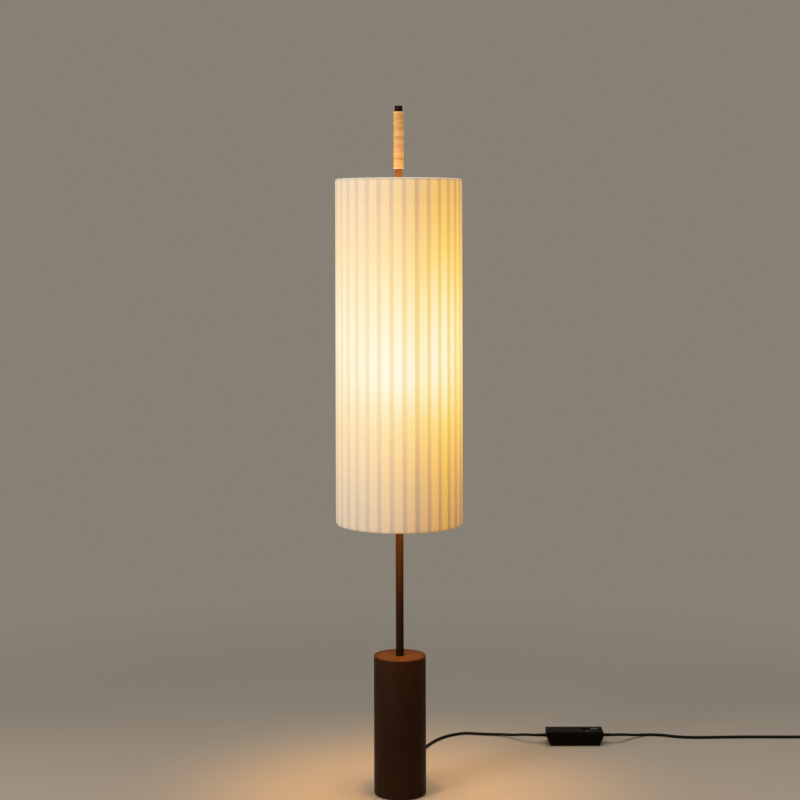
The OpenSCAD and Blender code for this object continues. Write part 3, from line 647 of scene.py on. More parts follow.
@finish_of(specular_ior_level=0.15, sheen_weight=0.1, sheen_roughness=0.5, emission_strength=1.0)
def cotton_ribbon(cloth, colours):
    """Cotton ribbon lit from inside: a plain weave, a woven edge, and the painted glow of two bulbs through
    one layer or, where two ribbons lap, through two. The glow is painted cooler towards the left, where
    the studio's key light falls, and painted darker in the stem's shadow, at the right edge and at the rims."""
    sizes = bpy.context.scene.lamp_sizes
    width = sizes.ribbon_width
    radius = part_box("shade_ribbons")[1].x
    foot, top = levels("shade_ribbons")
    across, down, _ = cloth.along(cloth.node("UVMap", {"uv_map": "cloth"}).outputs[0])
    woven = down.waves(1.1 * MM) * (0.6 + across.waves(0.9 * MM) * 0.4) * 0.5 + 0.5
    edge = across.ramp(1.6 * MM, 0.9 * MM) + across.ramp(width - 1.6 * MM, width - 0.9 * MM)
    slub = cloth.noise(90, 3, place=cloth.vector(across * 0.4, down * 6, 0.0))
    shade = cloth.mix(slub.ramp(0.3, 0.7), shaded(colours.cotton, 0.93), shaded(colours.cotton, 1.05))
    cloth.colour(cloth.mix(woven * 0.12, shade, shaded(colours.cotton, 0.7)))

    place = cloth.along(cloth.place())
    x, y, z = place
    step = tau / sizes.ribbon_count
    angle = y.then("ARCTAN2", x)
    run = (angle - (sizes.first_edge - pi / 2) + tau) * (1 / step)
    share = run.fraction()
    overlap = width / (radius * step) - 1
    double = share.ramp(overlap + 0.035, overlap - 0.045) * share.ramp(0.0, 0.02)
    tint = cloth.node("TexWhiteNoise", {"noise_dimensions": "1D"}, {"W": run.whole()}).outputs[0]
    lower, upper = (nearness(place, lamp_centre(which), 82 * MM) for which in LAMPS)
    # Painted shadow of the stem, cast by the upper bulb on the front of the shade.
    stem_shadow = angle.bell(radians(16) - pi / 2, radians(9))
    glow = (
        0.27
        + (z - 0.9) * 0.18
        + z.bell(0.92, 0.28) * 0.66
        + lower * 0.2
        + upper * (0.18 - stem_shadow * 0.14)
        - stem_shadow * 0.05
        - double * 0.165
        # Painted shade: the glow is darker towards the right edge.
        - x.ramp(0.7 * radius, 0.98 * radius) * 0.13
        + (Number(cloth, tint) - 0.5) * 0.04
        + (slub - 0.5) * 0.02
    )
    strongest = WARM_GLOW[-1][0]
    lit = (glow * (1 / strongest)).held()
    warm, cool = (
        cloth.ramped(lit, [(position / strongest, colour) for position, colour in stops])
        for stops in (WARM_GLOW, COOL_GLOW)
    )
    # Painted studio light: towards the left, where the cool key light falls, the glow is cooler and paler.
    seen = cloth.mix((x * (1 / radius)).ramp(-0.66, 0.66) ** 1.3, cool, warm)
    # Painted shade: the glow is darker near the top and the foot, where the rings lie behind the cloth. It is
    # also darker in a thin line along each ribbon's outer edge.
    rim = z.ramp(top - 5 * MM, top - 1 * MM) * 0.7 + z.ramp(foot + 5 * MM, foot + 1 * MM) * 0.2
    cut = across.ramp(0.35 * MM, 0.1 * MM)
    level = (1 - double * 0.085) * (1 - cut * 0.3) * (1 - woven * 0.04) * (1 - rim)
    cloth.glow(cloth.times(seen, cloth.vector(level, level, level)))
    cloth.roughness(0.82 + woven * 0.1)
    cloth.bump(woven * 0.7 + edge.held() * 0.3, 0.1 * MM)
    cloth.material.cycles.emission_sampling = "NONE"


@finish_of(specular_ior_level=0.02)
def black_plastic(plastic, colours):
    """Moulded black plastic with a fine spark texture and faint rubbing."""
    spark = plastic.noise(3200, 2)
    rub = plastic.noise(60, 4, (1, 3, 3)).ramp(0.5, 0.8)
    plastic.colour(plastic.mix(rub, colours.black_plastic, shaded(colours.black_plastic, 1.5)))
    plastic.roughness(0.34 + spark * 0.12 + rub * 0.1)
    plastic.bump(spark, 0.05 * MM)


@finish_of(specular_ior_level=0.07)
def cord_sheath(sheath, colours):
    """Smooth black sheath, a little dusty."""
    dust = sheath.noise(240, 4).ramp(0.45, 0.8)
    ripple = sheath.noise(700, 2)
    sheath.colour(sheath.mix(dust * 0.35, colours.cord, (0.02, 0.016, 0.012)))
    sheath.roughness(0.42 + ripple * 0.12 + dust * 0.1)
    sheath.bump(ripple, 0.06 * MM)


@finish_of(specular_ior_level=0.1, sheen_weight=0.2, sheen_roughness=0.5)
def tie_cloth(cloth, colours):
    """Black hook-and-loop cloth of the coil's tie: cross ribs and a fuzz of loops."""
    _, y, _ = cloth.along(cloth.place())
    ribs = y.waves(0.9 * MM) * 0.5 + 0.5
    fuzz = cloth.noise(2600, 3)
    cloth.colour(cloth.mix(fuzz * 0.6 + ribs * 0.2, colours.cord, (0.035, 0.032, 0.03)))
    cloth.roughness(0.8 + fuzz * 0.15)
    cloth.bump(ribs * 0.5 + fuzz * 0.5, 0.12 * MM)


@finish_of(specular_ior_level=0.5)
def white_enamel(enamel, colours):
    """Thin warm white enamel on wire."""
    cloud = enamel.noise(60, 3)
    enamel.colour(enamel.mix(cloud.ramp(0.35, 0.7), colours.enamel, shaded(colours.enamel, 0.88)))
    enamel.roughness(0.28 + cloud * 0.12)
    enamel.bump(enamel.noise(400, 2), 0.08 * MM)


@finish_of(specular_ior_level=0.45)
def moulded_white(moulding, colours):
    """White heat-proof moulding with faint flow marks and slight yellowing."""
    flow = moulding.noise(45, 4, (1, 1, 0.3))
    moulding.colour(moulding.mix(flow.ramp(0.35, 0.75), colours.holder, (0.74, 0.66, 0.5)))
    moulding.roughness(0.38 + flow * 0.15)
    moulding.bump(moulding.noise(1500, 2), 0.04 * MM)


@finish_of(roughness=0.25, emission_strength=1.0)
def opal_glass(glass, colours):
    """A lit opal bulb, brighter in its middle than at its neck."""
    _, _, z = glass.along(glass.place())
    glass.colour(glass.mix(glass.noise(40, 2), (0.9, 0.85, 0.74), (0.95, 0.92, 0.85)))
    lower, upper = (z.bell(lamp_centre(which)[2], 0.05) for which in LAMPS)
    glass.glow(glass.mix((lower + upper).held(), shaded(colours.opal, 0.62), colours.opal))
    glass.material.cycles.emission_sampling = "NONE"


@finish_of(metallic=1.0)
def metal(plate, colours, tone, rough, streak):
    """Bare or plated metal: fine streaks, stains and a mottled shine."""
    lines = plate.noise(900, 2, (1, 1, streak))
    stain = plate.noise(70, 4)
    plate.colour(plate.mix(stain.ramp(0.4, 0.75) * 0.6, tone, shaded(tone, 0.68)))
    plate.roughness(rough + lines * 0.15 + stain * 0.1)
    plate.bump(lines, 0.03 * MM)


zinc = partial(metal, "zinc_plate", tone=(0.56, 0.56, 0.54), rough=0.28, streak=1.0)
slide_steel = partial(metal, "slide_steel", tone=(0.14, 0.14, 0.15), rough=0.5, streak=0.2)
nickel = partial(metal, "nickel_plate", tone=(0.72, 0.69, 0.62), rough=0.16, streak=0.08)


@finish_of(specular_ior_level=0.5)
def cast_iron(iron, colours):
    """Raw cast iron with a sandy skin."""
    sand = iron.cells(900)
    rust = iron.noise(35, 5).ramp(0.55, 0.75)
    iron.colour(iron.mix(rust * 0.6, (0.075, 0.072, 0.068), (0.13, 0.055, 0.025)))
    iron.roughness(0.55 + sand * 0.3)
    iron.bump(sand, 0.3 * MM)


@finish_of(metallic=0.7)
def black_steel(steel, colours):
    """Black oxide on a steel plate."""
    cloud = steel.noise(40, 4)
    steel.colour(steel.mix(cloud.ramp(0.35, 0.7), (0.03, 0.03, 0.032), (0.07, 0.065, 0.06)))
    steel.roughness(0.4 + cloud * 0.25)
    steel.bump(steel.noise(1200, 2), 0.04 * MM)


@finish_of(specular_ior_level=0.3)
def foot_rubber(rubber, colours):
    """Ribbed rubber of the foot pad."""
    x, y, _ = rubber.along(rubber.place())
    rings = off_axis(x, y).waves(4 * MM) * 0.5 + 0.5
    grain = rubber.noise(1500, 2)
    rubber.colour(rubber.mix(grain, (0.012, 0.012, 0.012), (0.03, 0.029, 0.027)))
    rubber.roughness(0.75 + grain * 0.15)
    rubber.bump(rings * 0.8 + grain * 0.2, 0.4 * MM)


@finish_of(specular_ior_level=0.3)
def lead_sleeve(braid, colours):
    """Braided glass sleeve on a lampholder's lead."""
    x, y, z = braid.along(braid.place())
    weave = (x + z).waves(1.2 * MM) * (y - z).waves(1.2 * MM)
    braid.colour(braid.mix(weave * 0.5 + 0.5, (0.62, 0.58, 0.49), (0.8, 0.77, 0.69)))
    braid.roughness(0.7 + weave * 0.1)
    braid.bump(weave * 0.5 + 0.5, 0.15 * MM)


@finish_of(specular_ior_level=0.5)
def knob_plastic(plastic, colours):
    """Worn dark grey plastic of the dimmer's slider."""
    wear = plastic.noise(300, 4).ramp(0.45, 0.7)
    plastic.colour(plastic.mix(wear, (0.03, 0.03, 0.027), (0.055, 0.054, 0.048)))
    plastic.roughness(0.32 + wear * 0.2)
    plastic.bump(plastic.noise(2500, 2), 0.04 * MM)


@finish_of(roughness=0.2, specular_ior_level=0.3, emission_strength=0.03)
def pilot_lens(lens, colours):
    """Milky lens of the pilot lamp, faintly lit."""
    cloud = lens.noise(900, 2)
    lens.colour(lens.mix(cloud, (0.04, 0.046, 0.034), (0.06, 0.068, 0.05)))
    lens.glow(lens.mix(cloud, (0.3, 0.34, 0.22), (0.4, 0.44, 0.3)))


@finish_of(specular_ior_level=0.5)
def circuit_board(board, colours):
    """Green board with pale tracks and solder pads."""
    x, y, _ = board.along(board.place())
    track = (x * (tau / (9 * MM)) + y.waves(14 * MM) * 2).sine().ramp(0.55, 0.7)
    pad = board.cells(260).ramp(0.16, 0.12)
    green = board.mix(track * 0.6, (0.02, 0.11, 0.035), (0.05, 0.21, 0.07))
    board.colour(board.mix(pad, green, (0.5, 0.49, 0.45)))
    board.roughness(0.3 + track * 0.1)
    board.bump(track * 0.4 + pad * 0.6, 0.12 * MM)


# ---------- camera and cords ----------

CAMERA_ROLL = 0.14
HORIZON_ROW = 227.9
MIDDLE_COLUMN = 398.8
PICTURE = 800


class LAMP_OT_camera(bpy.types.Operator):
    """Places the camera level, in front of the lamp"""

    bl_idname = "lamp.camera"
    bl_label = "Camera"

    def execute(self, context):
        studio = context.scene.lamp_studio
        camera = bpy.data.cameras.new("camera")
        camera.lens = studio.lens
        camera.shift_x = (PICTURE / 2 - MIDDLE_COLUMN) / PICTURE
        camera.shift_y = (HORIZON_ROW - PICTURE / 2) / PICTURE
        camera.clip_end = 200
        stand = bpy.data.objects.new("camera", camera)
        context.scene.collection.objects.link(stand)
        stand.location = (0, -studio.camera_distance, studio.camera_height)
        stand.rotation_euler = (radians(90), radians(CAMERA_ROLL), 0)
        context.scene.camera = stand
        return {"FINISHED"}


# The cord's measures and routes, in millimetres.
CORD = 6
LAMP_EXIT = (0, 77, 15)
DIMMER = (389, 335.5, 18)
DIMMER_LEFT = 306
DIMMER_RIGHT = 472
COIL = (975, 324.5)
COIL_RADIUS = 43.5
COIL_PITCH = 6.6
COIL_LAYER = 6.5
COIL_TURNS = 5
COIL_CLIMB = 0.5  # turns that it takes from the lower layer to the upper
COIL_STEPS = 48  # points in a turn
PLUG_FACE = (1112, 356, 7)
PLUG_TAIL = 1052

LAMP_ROUTE = [
    LAMP_EXIT, (0, 83, 15), (2, 115, 13), (8, 150, 9), (18, 190, 5.5), (30, 228, 3.5), (43, 262, 3),
    (56, 296, 3), (69, 327, 3), (83, 352, 3), (101, 375, 3), (125, 393, 3), (149, 402, 3),
    (188, 396, 3), (224, 389, 4), (254, 371, 8), (274, 352, 14), (289, 339, 17.5), (300, 335.5, 18),
    (DIMMER_LEFT, 335.5, 18),
]
MAINS_ROUTE = [
    (DIMMER_RIGHT, 335.5, 18), (478, 335.5, 18), (491, 340, 17), (507, 353, 13), (528, 371, 7),
    (556, 387, 3), (592, 384, 3), (626, 371, 3), (665, 366, 3), (710, 367, 3), (760, 369, 3),
    (810, 369, 3), (860, 368, 3), (905, 368, 3), (940, 368, 3),
    (COIL[0] - 2 * CORD, COIL[1] + COIL_RADIUS, 3), (COIL[0] - CORD, COIL[1] + COIL_RADIUS, 3),
]
PLUG_ROUTE = [
    (COIL[0] + CORD, COIL[1] + COIL_RADIUS, 9.5), (COIL[0] + 2 * CORD, COIL[1] + COIL_RADIUS, 9.5),
    (1006, 366.5, 9), (1026, 361, 8), (1046, 356, 7), (PLUG_TAIL, 356, 7),
]


def smooth_route(route, steps=4):
    """Points of a smooth line through the route, in metres. Its first and last stretch are straight,
    and it keeps off the floor."""
    points = [Vector(p) for p in route]
    line = []
    for i in range(len(points) - 1):
        before, a = points[max(i - 1, 0)], points[i]
        b, after = points[i + 1], points[min(i + 2, len(points) - 1)]
        for k in range(steps):
            t = k / steps
            if i in (0, len(points) - 2):
                place = a.lerp(b, t)
            else:
                place = 0.5 * (
                    2 * a
                    + (b - before) * t
                    + (2 * before - 5 * a + 4 * b - after) * t * t
                    + (3 * a - before - 3 * b + after) * t**3
                )
            place.z = max(place.z, CORD / 2)
            line.append(place * MM)
    return [*line, points[-1] * MM]


DIMMER_PIECES = [
    "dimmer_tray", "dimmer_lid", "slider_knob", "lens_dome", "dimmer_cord_reliefs",
    "dimmer_board", "dimmer_track", "dimmer_screws",
]
PLUG_PIECES = ["plug_housing", "plug_pin_pair", "plug_pin_sleeves"]


def coil_point(turn):
    """A point of the coil: it spirals in on the floor, climbs a layer, and spirals out."""
    radius = COIL_RADIUS - COIL_PITCH * min(turn, COIL_TURNS - turn)
    up = min(max((turn - COIL_TURNS / 2 + COIL_CLIMB / 2) / COIL_CLIMB, 0), 1)
    angle = radians(90 - 360 * turn)
    height = CORD / 2 + COIL_LAYER * eased(up)
    return Vector((COIL[0] + radius * cos(angle), COIL[1] + radius * sin(angle), height)) * MM


def coil_tie():
    """A cloth strap round the coil's turns, at its right side."""
    inner = COIL_RADIUS - COIL_PITCH * (COIL_TURNS / 2 - 0.25) - CORD / 2
    outer = COIL_RADIUS - COIL_PITCH * 0.25 + CORD / 2
    wall, width, height = 0.8, 11, COIL_LAYER + CORD + 0.8
    x, y = COIL
    sizes, at = in_mm([(outer - inner + 2 * wall, width, height), (x + (inner + outer) / 2, y, height / 2)])
    tie = block("coil_tie", sizes, at)
    with editing(tie):
        pick(tie, "FACE", lambda middle: abs(middle.y - y * MM) > 1 * MM)
        bpy.ops.mesh.delete(type="ONLY_FACE")
        pick(tie, "EDGE", lambda middle: abs(middle.y - y * MM) < 0.1 * MM)
        bpy.ops.mesh.bevel(offset=3 * MM, segments=5, affect="EDGES")
    modified(tie, "SOLIDIFY", thickness=wall * MM, offset=-1)
    return dressed(rounded(tie, 0.15 * MM), tie_cloth())


class LAMP_OT_cord(bpy.types.Operator):
    """Lays the supply cord from the lamp through the dimmer, round its tied coil and on to the plug,
    and runs the lamp's own length of it up inside the stem"""

    bl_idname = "lamp.cord"
    bl_label = "Supply cord"

    def execute(self, context):
        radius = context.scene.lamp_sizes.cord_diameter / 2
        coil = [coil_point(i / COIL_STEPS) for i in range(COIL_STEPS * COIL_TURNS + 1)]
        line = [*smooth_route(LAMP_ROUTE), *smooth_route(MAINS_ROUTE), *coil, *smooth_route(PLUG_ROUTE)]
        piece = tube_along("supply_cord", line, radius)
        replaced = ["cord_to_dimmer", "dimmer_cord_ends", "cord_to_coil", "cord_coil", "cord_to_plug"]
        dressed(piece, cord_sheath(), replaced, smooth=60)
        on_it = [*(bpy.data.objects[name] for name in (*DIMMER_PIECES, *PLUG_PIECES)), coil_tie()]
        _, inlet, height = LAMP_EXIT
        bend = 20
        inside = [(0, y, height) for y in (inlet, 60, 40)]
        inside += [(0, bend - along, height + up) for along, up in quarter_bend(bend, 12)]
        inside.append((0, 0, top_of("inner_cord") / MM))
        riser = tube_along("riser_cord", in_mm(inside), radius)
        dressed(riser, cord_sheath(), ["inner_cord"], smooth=60)
        return {"FINISHED"}


def relief(name, length, root, nose, flange=0.0):
    """A grooved tapered relief along +Z, from its root in the housing's wall to its nose."""
    bore = CORD / 2 * MM + 0.05 * MM
    sunk, plain, grooves, depth = -4 * MM, 3 * MM, 5, 0.8 * MM
    outline = [(bore, sunk), (root, sunk), (root, 0)]
    if flange:
        outline += [(flange, 0), (flange, 2 * MM), (root, 2 * MM)]
    first = 5 * MM if flange else plain
    pitch = (length - first - plain) / grooves

    def taper(z):
        return root + (nose - root) * z / length

    for i in range(grooves):
        z = first + i * pitch
        outline += [(taper(z), z), (taper(z) - depth, z + 0.4 * MM)]
        outline += [(taper(z + 1.4 * MM) - depth, z + 1.4 * MM), (taper(z + 1.8 * MM), z + 1.8 * MM)]
    outline += [(nose, length), (bore, length), (bore, sunk)]
    return rounded(turned(name, outline, 48), 0.25 * MM)


class LAMP_OT_reliefs(bpy.types.Operator):
    """Makes the grooved reliefs where the cord leaves the base and the dimmer"""

    bl_idname = "lamp.reliefs"
    bl_label = "Cord reliefs"

    def execute(self, context):
        _, end, height = LAMP_EXIT
        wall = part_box("base_sleeve")[1].y
        exit_relief = relief("base_cord_relief", end * MM - wall, 5.5 * MM, 3.8 * MM, 7.5 * MM)
        placed(exit_relief, (0, wall, height * MM), (radians(-90), 0, 0))
        dressed(exit_relief, cord_sheath(), ["exit_relief"])
        half = size("dimmer_upper_case", 0) / 2
        x, y, z = (value * MM for value in DIMMER)
        end_relief = relief("relief", DIMMER_RIGHT * MM - x - half, 4.2 * MM, 3.4 * MM)
        pair = repeated(end_relief, [((x + side * half, y, z), (0, radians(90 * side), 0)) for side in (1, -1)])
        dressed(joined(pair, "dimmer_cord_reliefs"), cord_sheath(), ["dimmer_reliefs"])
        return {"FINISHED"}


# ---------- stand ----------


class LAMP_OT_base(bpy.types.Operator):
    """Turns the base sleeve, its top disc, the stem and its end cap"""

    bl_idname = "lamp.base"
    bl_label = "Base and stem"

    def execute(self, context):
        sizes = context.scene.lamp_sizes
        stem = size("stem", 0) / 2
        radius = size("base_sleeve", 0) / 2
        sleeve = pipe("sleeve_shell", radius - sizes.sleeve_wall, radius, *levels("base_sleeve"), 160)
        dressed(rounded(sleeve, sizes.edge_round, 3), bronze_paint(), ["base_sleeve"])
        radius = size("base_top_disc", 0) / 2
        disc = pipe("top_disc", stem + 0.1 * MM, radius, *levels("base_top_disc"), 128)
        dressed(rounded(disc, 0.4 * MM), bronze_paint(), ["base_top_disc"])
        tube = pipe("stem_tube", stem - 1.5 * MM, stem, *levels("stem"))
        dressed(rounded(tube, 0.3 * MM), lit_bronze(), ["stem"])

        foot, top = levels("end_cap")
        spigot, seat = stem - 1.6 * MM, top - 12 * MM
        cap = turned("cap", [(spigot, foot), (spigot, seat), (stem, seat), (stem, top)])
        dressed(rounded(cap, 0.9 * MM, 4), bronze_paint(), ["end_cap"])
        return {"FINISHED"}


class LAMP_OT_winding(bpy.types.Operator):
    """Winds the cane strip round the grip, with a binding ring at each end"""

    bl_idname = "lamp.winding"
    bl_label = "Cane winding"

    def execute(self, context):
        turns = context.scene.lamp_sizes.winding_turns
        spill, gap, ring_half = 0.2 * MM, 0.12 * MM, 1.2 * MM
        foot, top = levels("grip_winding")
        low, high = foot - spill, top + spill
        outer = size("grip_winding", 0) / 2
        inner = size("stem", 0) / 2 + 0.05 * MM
        pitch = (high - low) / (turns + 1)
        strip = added(bpy.ops.mesh.primitive_plane_add, "cane_winding", size=1)
        strip.scale = (outer - inner, pitch - gap, 1)
        placed(strip, ((outer + inner) / 2, 0, low + pitch / 2), (radians(90), 0, 0))
        with editing(strip, "SELECT"):
            bpy.ops.mesh.bevel(affect="VERTICES", offset=0.75 * MM, segments=3)
            bpy.ops.mesh.select_all(action="SELECT")
            bpy.ops.mesh.delete(type="ONLY_FACE")
        helix(strip, pitch, turns)
        ring = rounded(pipe("binding", inner, outer - 0.05 * MM, -ring_half, ring_half, 40), 0.6 * MM, 3)
        rings = repeated(ring, [((0, 0, z), LEVEL) for z in (low + 1.3 * MM, high - 1.3 * MM)])
        winding = joined([strip, *rings], "cane_winding")
        uneven = bpy.data.textures.new("uneven cane", "CLOUDS")
        uneven.noise_scale = 6 * MM
        modified(winding, "DISPLACE", texture=uneven, strength=0.18 * MM, mid_level=0.6)
        dressed(winding, cane(), ["grip_winding"], smooth=50)
        return {"FINISHED"}


# ---------- shade ----------


class LAMP_OT_ribbons(bpy.types.Operator):
    """Stretches the cotton ribbons over the two rings, each lapping its left neighbour"""

    bl_idname = "lamp.ribbons"
    bl_label = "Shade ribbons"

    def execute(self, context):
        sizes = context.scene.lamp_sizes
        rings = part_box("upper_ring"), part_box("lower_ring")
        wire = size("upper_ring", 2) / 2
        ring_radius = rings[0][1].x - wire
        top, foot = ((box[0].z + box[1].z) / 2 for box in rings)
        step = tau / sizes.ribbon_count
        tail_rows, bow_rows, face_rows, columns = 4, 10, 24, 7
        clear, lift, tail = 0.45 * MM, 0.52 * MM, sizes.ribbon_tail
        middle = (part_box("shade_ribbons")[1].x - 0.3 * MM) * cos(step / 8)
        lap = lift * sizes.ribbon_width / (step * middle)
        mean = ring_radius + wire + clear + lap / 2
        span = sizes.ribbon_width / mean

        def section(over_wire):
            """(radius, height) down a ribbon that lies so far over the wires: tail, bow, face, bow, tail."""
            over = wire + over_wire
            turns = [pi * k / bow_rows for k in range(bow_rows + 1)]
            bow = [(ring_radius - over * cos(turn), over * sin(turn)) for turn in turns]
            inside, outside = ring_radius - over, ring_radius + over
            line = [(inside, top - tail * (1 - k / tail_rows)) for k in range(tail_rows)]
            line += [(r, top + z) for r, z in bow]
            line += [(outside, top - (top - foot) * k / face_rows) for k in range(1, face_rows)]
            line += [(r, foot - z) for r, z in reversed(bow)]
            line += [(inside, foot + tail * k / tail_rows) for k in range(1, tail_rows + 1)]
            return line

        length = 0.0
        shape = bmesh.new()
        uv = shape.loops.layers.uv.new("cloth")
        for ribbon in range(sizes.ribbon_count):
            start = sizes.first_edge - pi / 2 + ribbon * step
            grid = []
            for column in range(columns):
                share = column / (columns - 1)
                line = section(clear + lap * (1 - share))
                angle = start + share * span
                down = [0.0]
                for a, b in zip(line, line[1:]):
                    down.append(down[-1] + dist(a, b))
                length = max(length, down[-1])
                across = share * sizes.ribbon_width
                grid.append([
                    (shape.verts.new((r * cos(angle), r * sin(angle), z)), across, d)
                    for (r, z), d in zip(line, down)
                ])
            for left, right in zip(grid, grid[1:]):
                for i in range(len(left) - 1):
                    corners = [left[i], left[i + 1], right[i + 1], right[i]]
                    face = shape.faces.new([c[0] for c in corners])
                    for loop, corner in zip(face.loops, corners):
                        loop[uv].uv = corner[1:]
        mesh = bpy.data.meshes.new("cotton_ribbons")
        shape.to_mesh(mesh)
        shape.free()
        piece = bpy.data.objects.new("cotton_ribbons", mesh)
        context.scene.collection.objects.link(piece)
        modified(piece, "SOLIDIFY", thickness=sizes.ribbon_thickness, offset=0)
        dressed(piece, cotton_ribbon(), ["shade_ribbons"], "shade", smooth=40)
        return {"FINISHED"}


class LAMP_OT_shade_frame(bpy.types.Operator):
    """Finishes the shade's wire frame, and turns its hub and the flange that carries it"""

    bl_idname = "lamp.shade_frame"
    bl_label = "Shade frame"

    def execute(self, context):
        outer = size("shade_hub", 0) / 2
        bore = outer - 4 * MM
        hub = rounded(pipe("hub", bore, outer, *levels("shade_hub")), 0.8 * MM, 3)
        dressed(hub, white_enamel(), ["shade_hub"], "shade")

        low, high = levels("shade_flange")
        seat = foot_of("shade_hub")
        stem = size("stem", 0) / 2 + 0.1 * MM
        spigot = bore - 0.3 * MM
        outline = [(stem, low), (outer, low), (outer, seat), (spigot, seat), (spigot, high), (stem, high)]
        outline.append(outline[0])
        flange = rounded(turned("carrier_flange", outline), 0.5 * MM)
        dressed(flange, lit_bronze(), ["shade_flange"])
        for node in ("upper_ring", "lower_ring", "shade_struts", "shade_arms"):
            finish_node(node, white_enamel())
        return {"FINISHED"}


# ---------- lamps ----------


LEAD_RADIUS = 2.25 * MM
SOCKET_FOOT = [(2.75, 0), (5, 0), (5, 14), (13, 14), (16, 15), (16, 18), (19, 18.5)]
SOCKET_MOUTH = [(19, 59), (16.5, 60.5), (16, 66), (13.8, 66), (13.8, 39), (2.75, 39), (2.75, 0)]
GROMMET = [(2.4, -1.1), (3.9, -1.1), (3.9, 0.4), (3.4, 0.9), (2.8, 0.9), (2.4, 0.5), (2.4, -1.1)]
CAP_CORE = [
    (4.4, 0), (4.6, 0.6), (6.5, 1.4), (7.4, 2), (11.2, 2.6), (12, 4), (12, 24), (12.9, 25.5), (12.9, 27),
]
THREAD_RADIUS, THREAD_WIRE, THREAD_START, THREAD_PITCH, THREAD_TURNS = 12 * MM, 0.95 * MM, 4.4 * MM, 3.6 * MM, 5


class LAMP_OT_lampholders(bpy.types.Operator):
    """Turns the two lampholders and finishes their strips, nuts and leads"""

    bl_idname = "lamp.lampholders"
    bl_label = "Lampholders"

    def execute(self, context):
        outline = [*SOCKET_FOOT]
        for z in range(24, 42, 3):
            outline += [(19, z), (18.2, z + 0.8), (18.2, z + 1.6), (19, z + 2.4)]
        outline += SOCKET_MOUTH
        sockets = copies(rounded(turned("socket", in_mm(outline)), 0.35 * MM), ["lower_socket", "upper_socket"])
        grommets = copies(turned("grommet", in_mm(GROMMET), 32), ["lower_grommet", "upper_grommet"])
        for which, socket, grommet in zip(LAMPS, sockets, grommets):
            node, strip, lead = (f"{which}_{part}" for part in ("lampholder", "strip", "lead"))
            x, y = middle_of(node)
            dressed(placed(socket, (x, y, foot_of(node))), moulded_white(), [node])
            dressed(softened(strip, f"{which}_bracket", 0.35 * MM), zinc(), [strip])
            height = foot_of(lead) + LEAD_RADIUS
            reach, outward = hypot(x, y), (0, 0, atan2(y, x))
            bend = 9 * MM
            line = [(3.2 * MM, height), (12 * MM, height), (24 * MM, height)]
            line += [(reach - bend + along, height + up) for along, up in quarter_bend(bend, 8)]
            line.append((reach, top_of(lead)))
            sleeve = tube_along(f"{which}_lead_sleeve", [(r, 0, z) for r, z in line], LEAD_RADIUS, 4)
            dressed(placed(sleeve, turn=outward), lead_sleeve(), [lead], smooth=60)
            placed(grommet, (size("stem", 0) / 2, 0, height), TO_THE_RIGHT)
            dressed(placed(grommet, turn=outward), cord_sheath())
        finish_node("lampholder_nuts", zinc())
        finish_node("collar_screws", zinc())
        return {"FINISHED"}


class LAMP_OT_bulbs(bpy.types.Operator):
    """Gives the bulbs their threaded caps and lit opal glass"""

    bl_idname = "lamp.bulbs"
    bl_label = "Bulbs"

    def execute(self, context):
        core = rounded(turned("core", in_mm(CAP_CORE), 48), 0.3 * MM)
        ridge = added(bpy.ops.mesh.primitive_circle_add, "thread", vertices=10, radius=THREAD_WIRE)
        placed(ridge, (THREAD_RADIUS, 0, THREAD_START), (radians(90), 0, 0))
        threaded = joined([core, helix(ridge, THREAD_PITCH, THREAD_TURNS)], "thread_cap")
        for which, cap in zip(LAMPS, copies(threaded, ["lower_thread_cap", "upper_thread_cap"])):
            node = f"{which}_screw_cap"
            placed(cap, (*middle_of(node), foot_of(node)))
            dressed(cap, nickel(), [node], f"{which}_bulb")
            finish_node(f"{which}_globe", opal_glass())
        return {"FINISHED"}


# ---------- dimmer ----------


class LAMP_OT_dimmer(bpy.types.Operator):
    """Rounds the dimmer's half cases and makes its slider and pilot lens"""

    bl_idname = "lamp.dimmer"
    bl_label = "Dimmer"

    def execute(self, context):
        lower, upper = "dimmer_lower_case", "dimmer_upper_case"
        tray = softened(lower, "dimmer_tray", 0.5 * MM)
        dressed(tray, black_plastic(), [lower])
        lid = softened(upper, "dimmer_lid", 0.7 * MM, 3)
        dressed(lid, black_plastic(), [upper])

        slider = softened("dimmer_slider", "slider_knob", 0.3 * MM)
        x, y = middle_of("dimmer_slider")
        z = top_of("dimmer_slider") + 0.15 * MM
        ridge_size, pitch = (0.8 * MM, 7.4 * MM, 0.5 * MM), 2.2 * MM
        ridge = rounded(block("ridge", ridge_size), 0.2 * MM)
        ridges = repeated(ridge, [((x + i * pitch, y, z), LEVEL) for i in range(-2, 3)])
        knob = joined([slider, *ridges], "slider_knob")
        dressed(knob, knob_plastic(), ["dimmer_slider"], "dimmer_slider")

        radius, rim, dome = 2.5 * MM, 3.3 * MM, 0.7 * MM
        shoulder = size("dimmer_lens", 2) - dome
        outline = [(rim, 0), (rim, 1 * MM), (radius, 1 * MM), (radius, shoulder)]
        outline += [
            (radius * cos(radians(a)), shoulder + dome * sin(radians(a))) for a in (25, 50, 75, 86)
        ]
        lens = placed(turned("lens_dome", outline, 32), (*middle_of("dimmer_lens"), foot_of("dimmer_lens")))
        dressed(lens, pilot_lens(), ["dimmer_lens"], smooth=60)
        return {"FINISHED"}


PLUG_BODY_LENGTH = 36 * MM
PIN_SPREAD = 9.3 * MM
PIN = [(1.5, -9), (1.5, 0), (1.9, 0.2), (1.9, 9.8), (2, 10), (2, 17.6), (1.75, 18.4), (1.2, 18.85), (0.5, 19)]


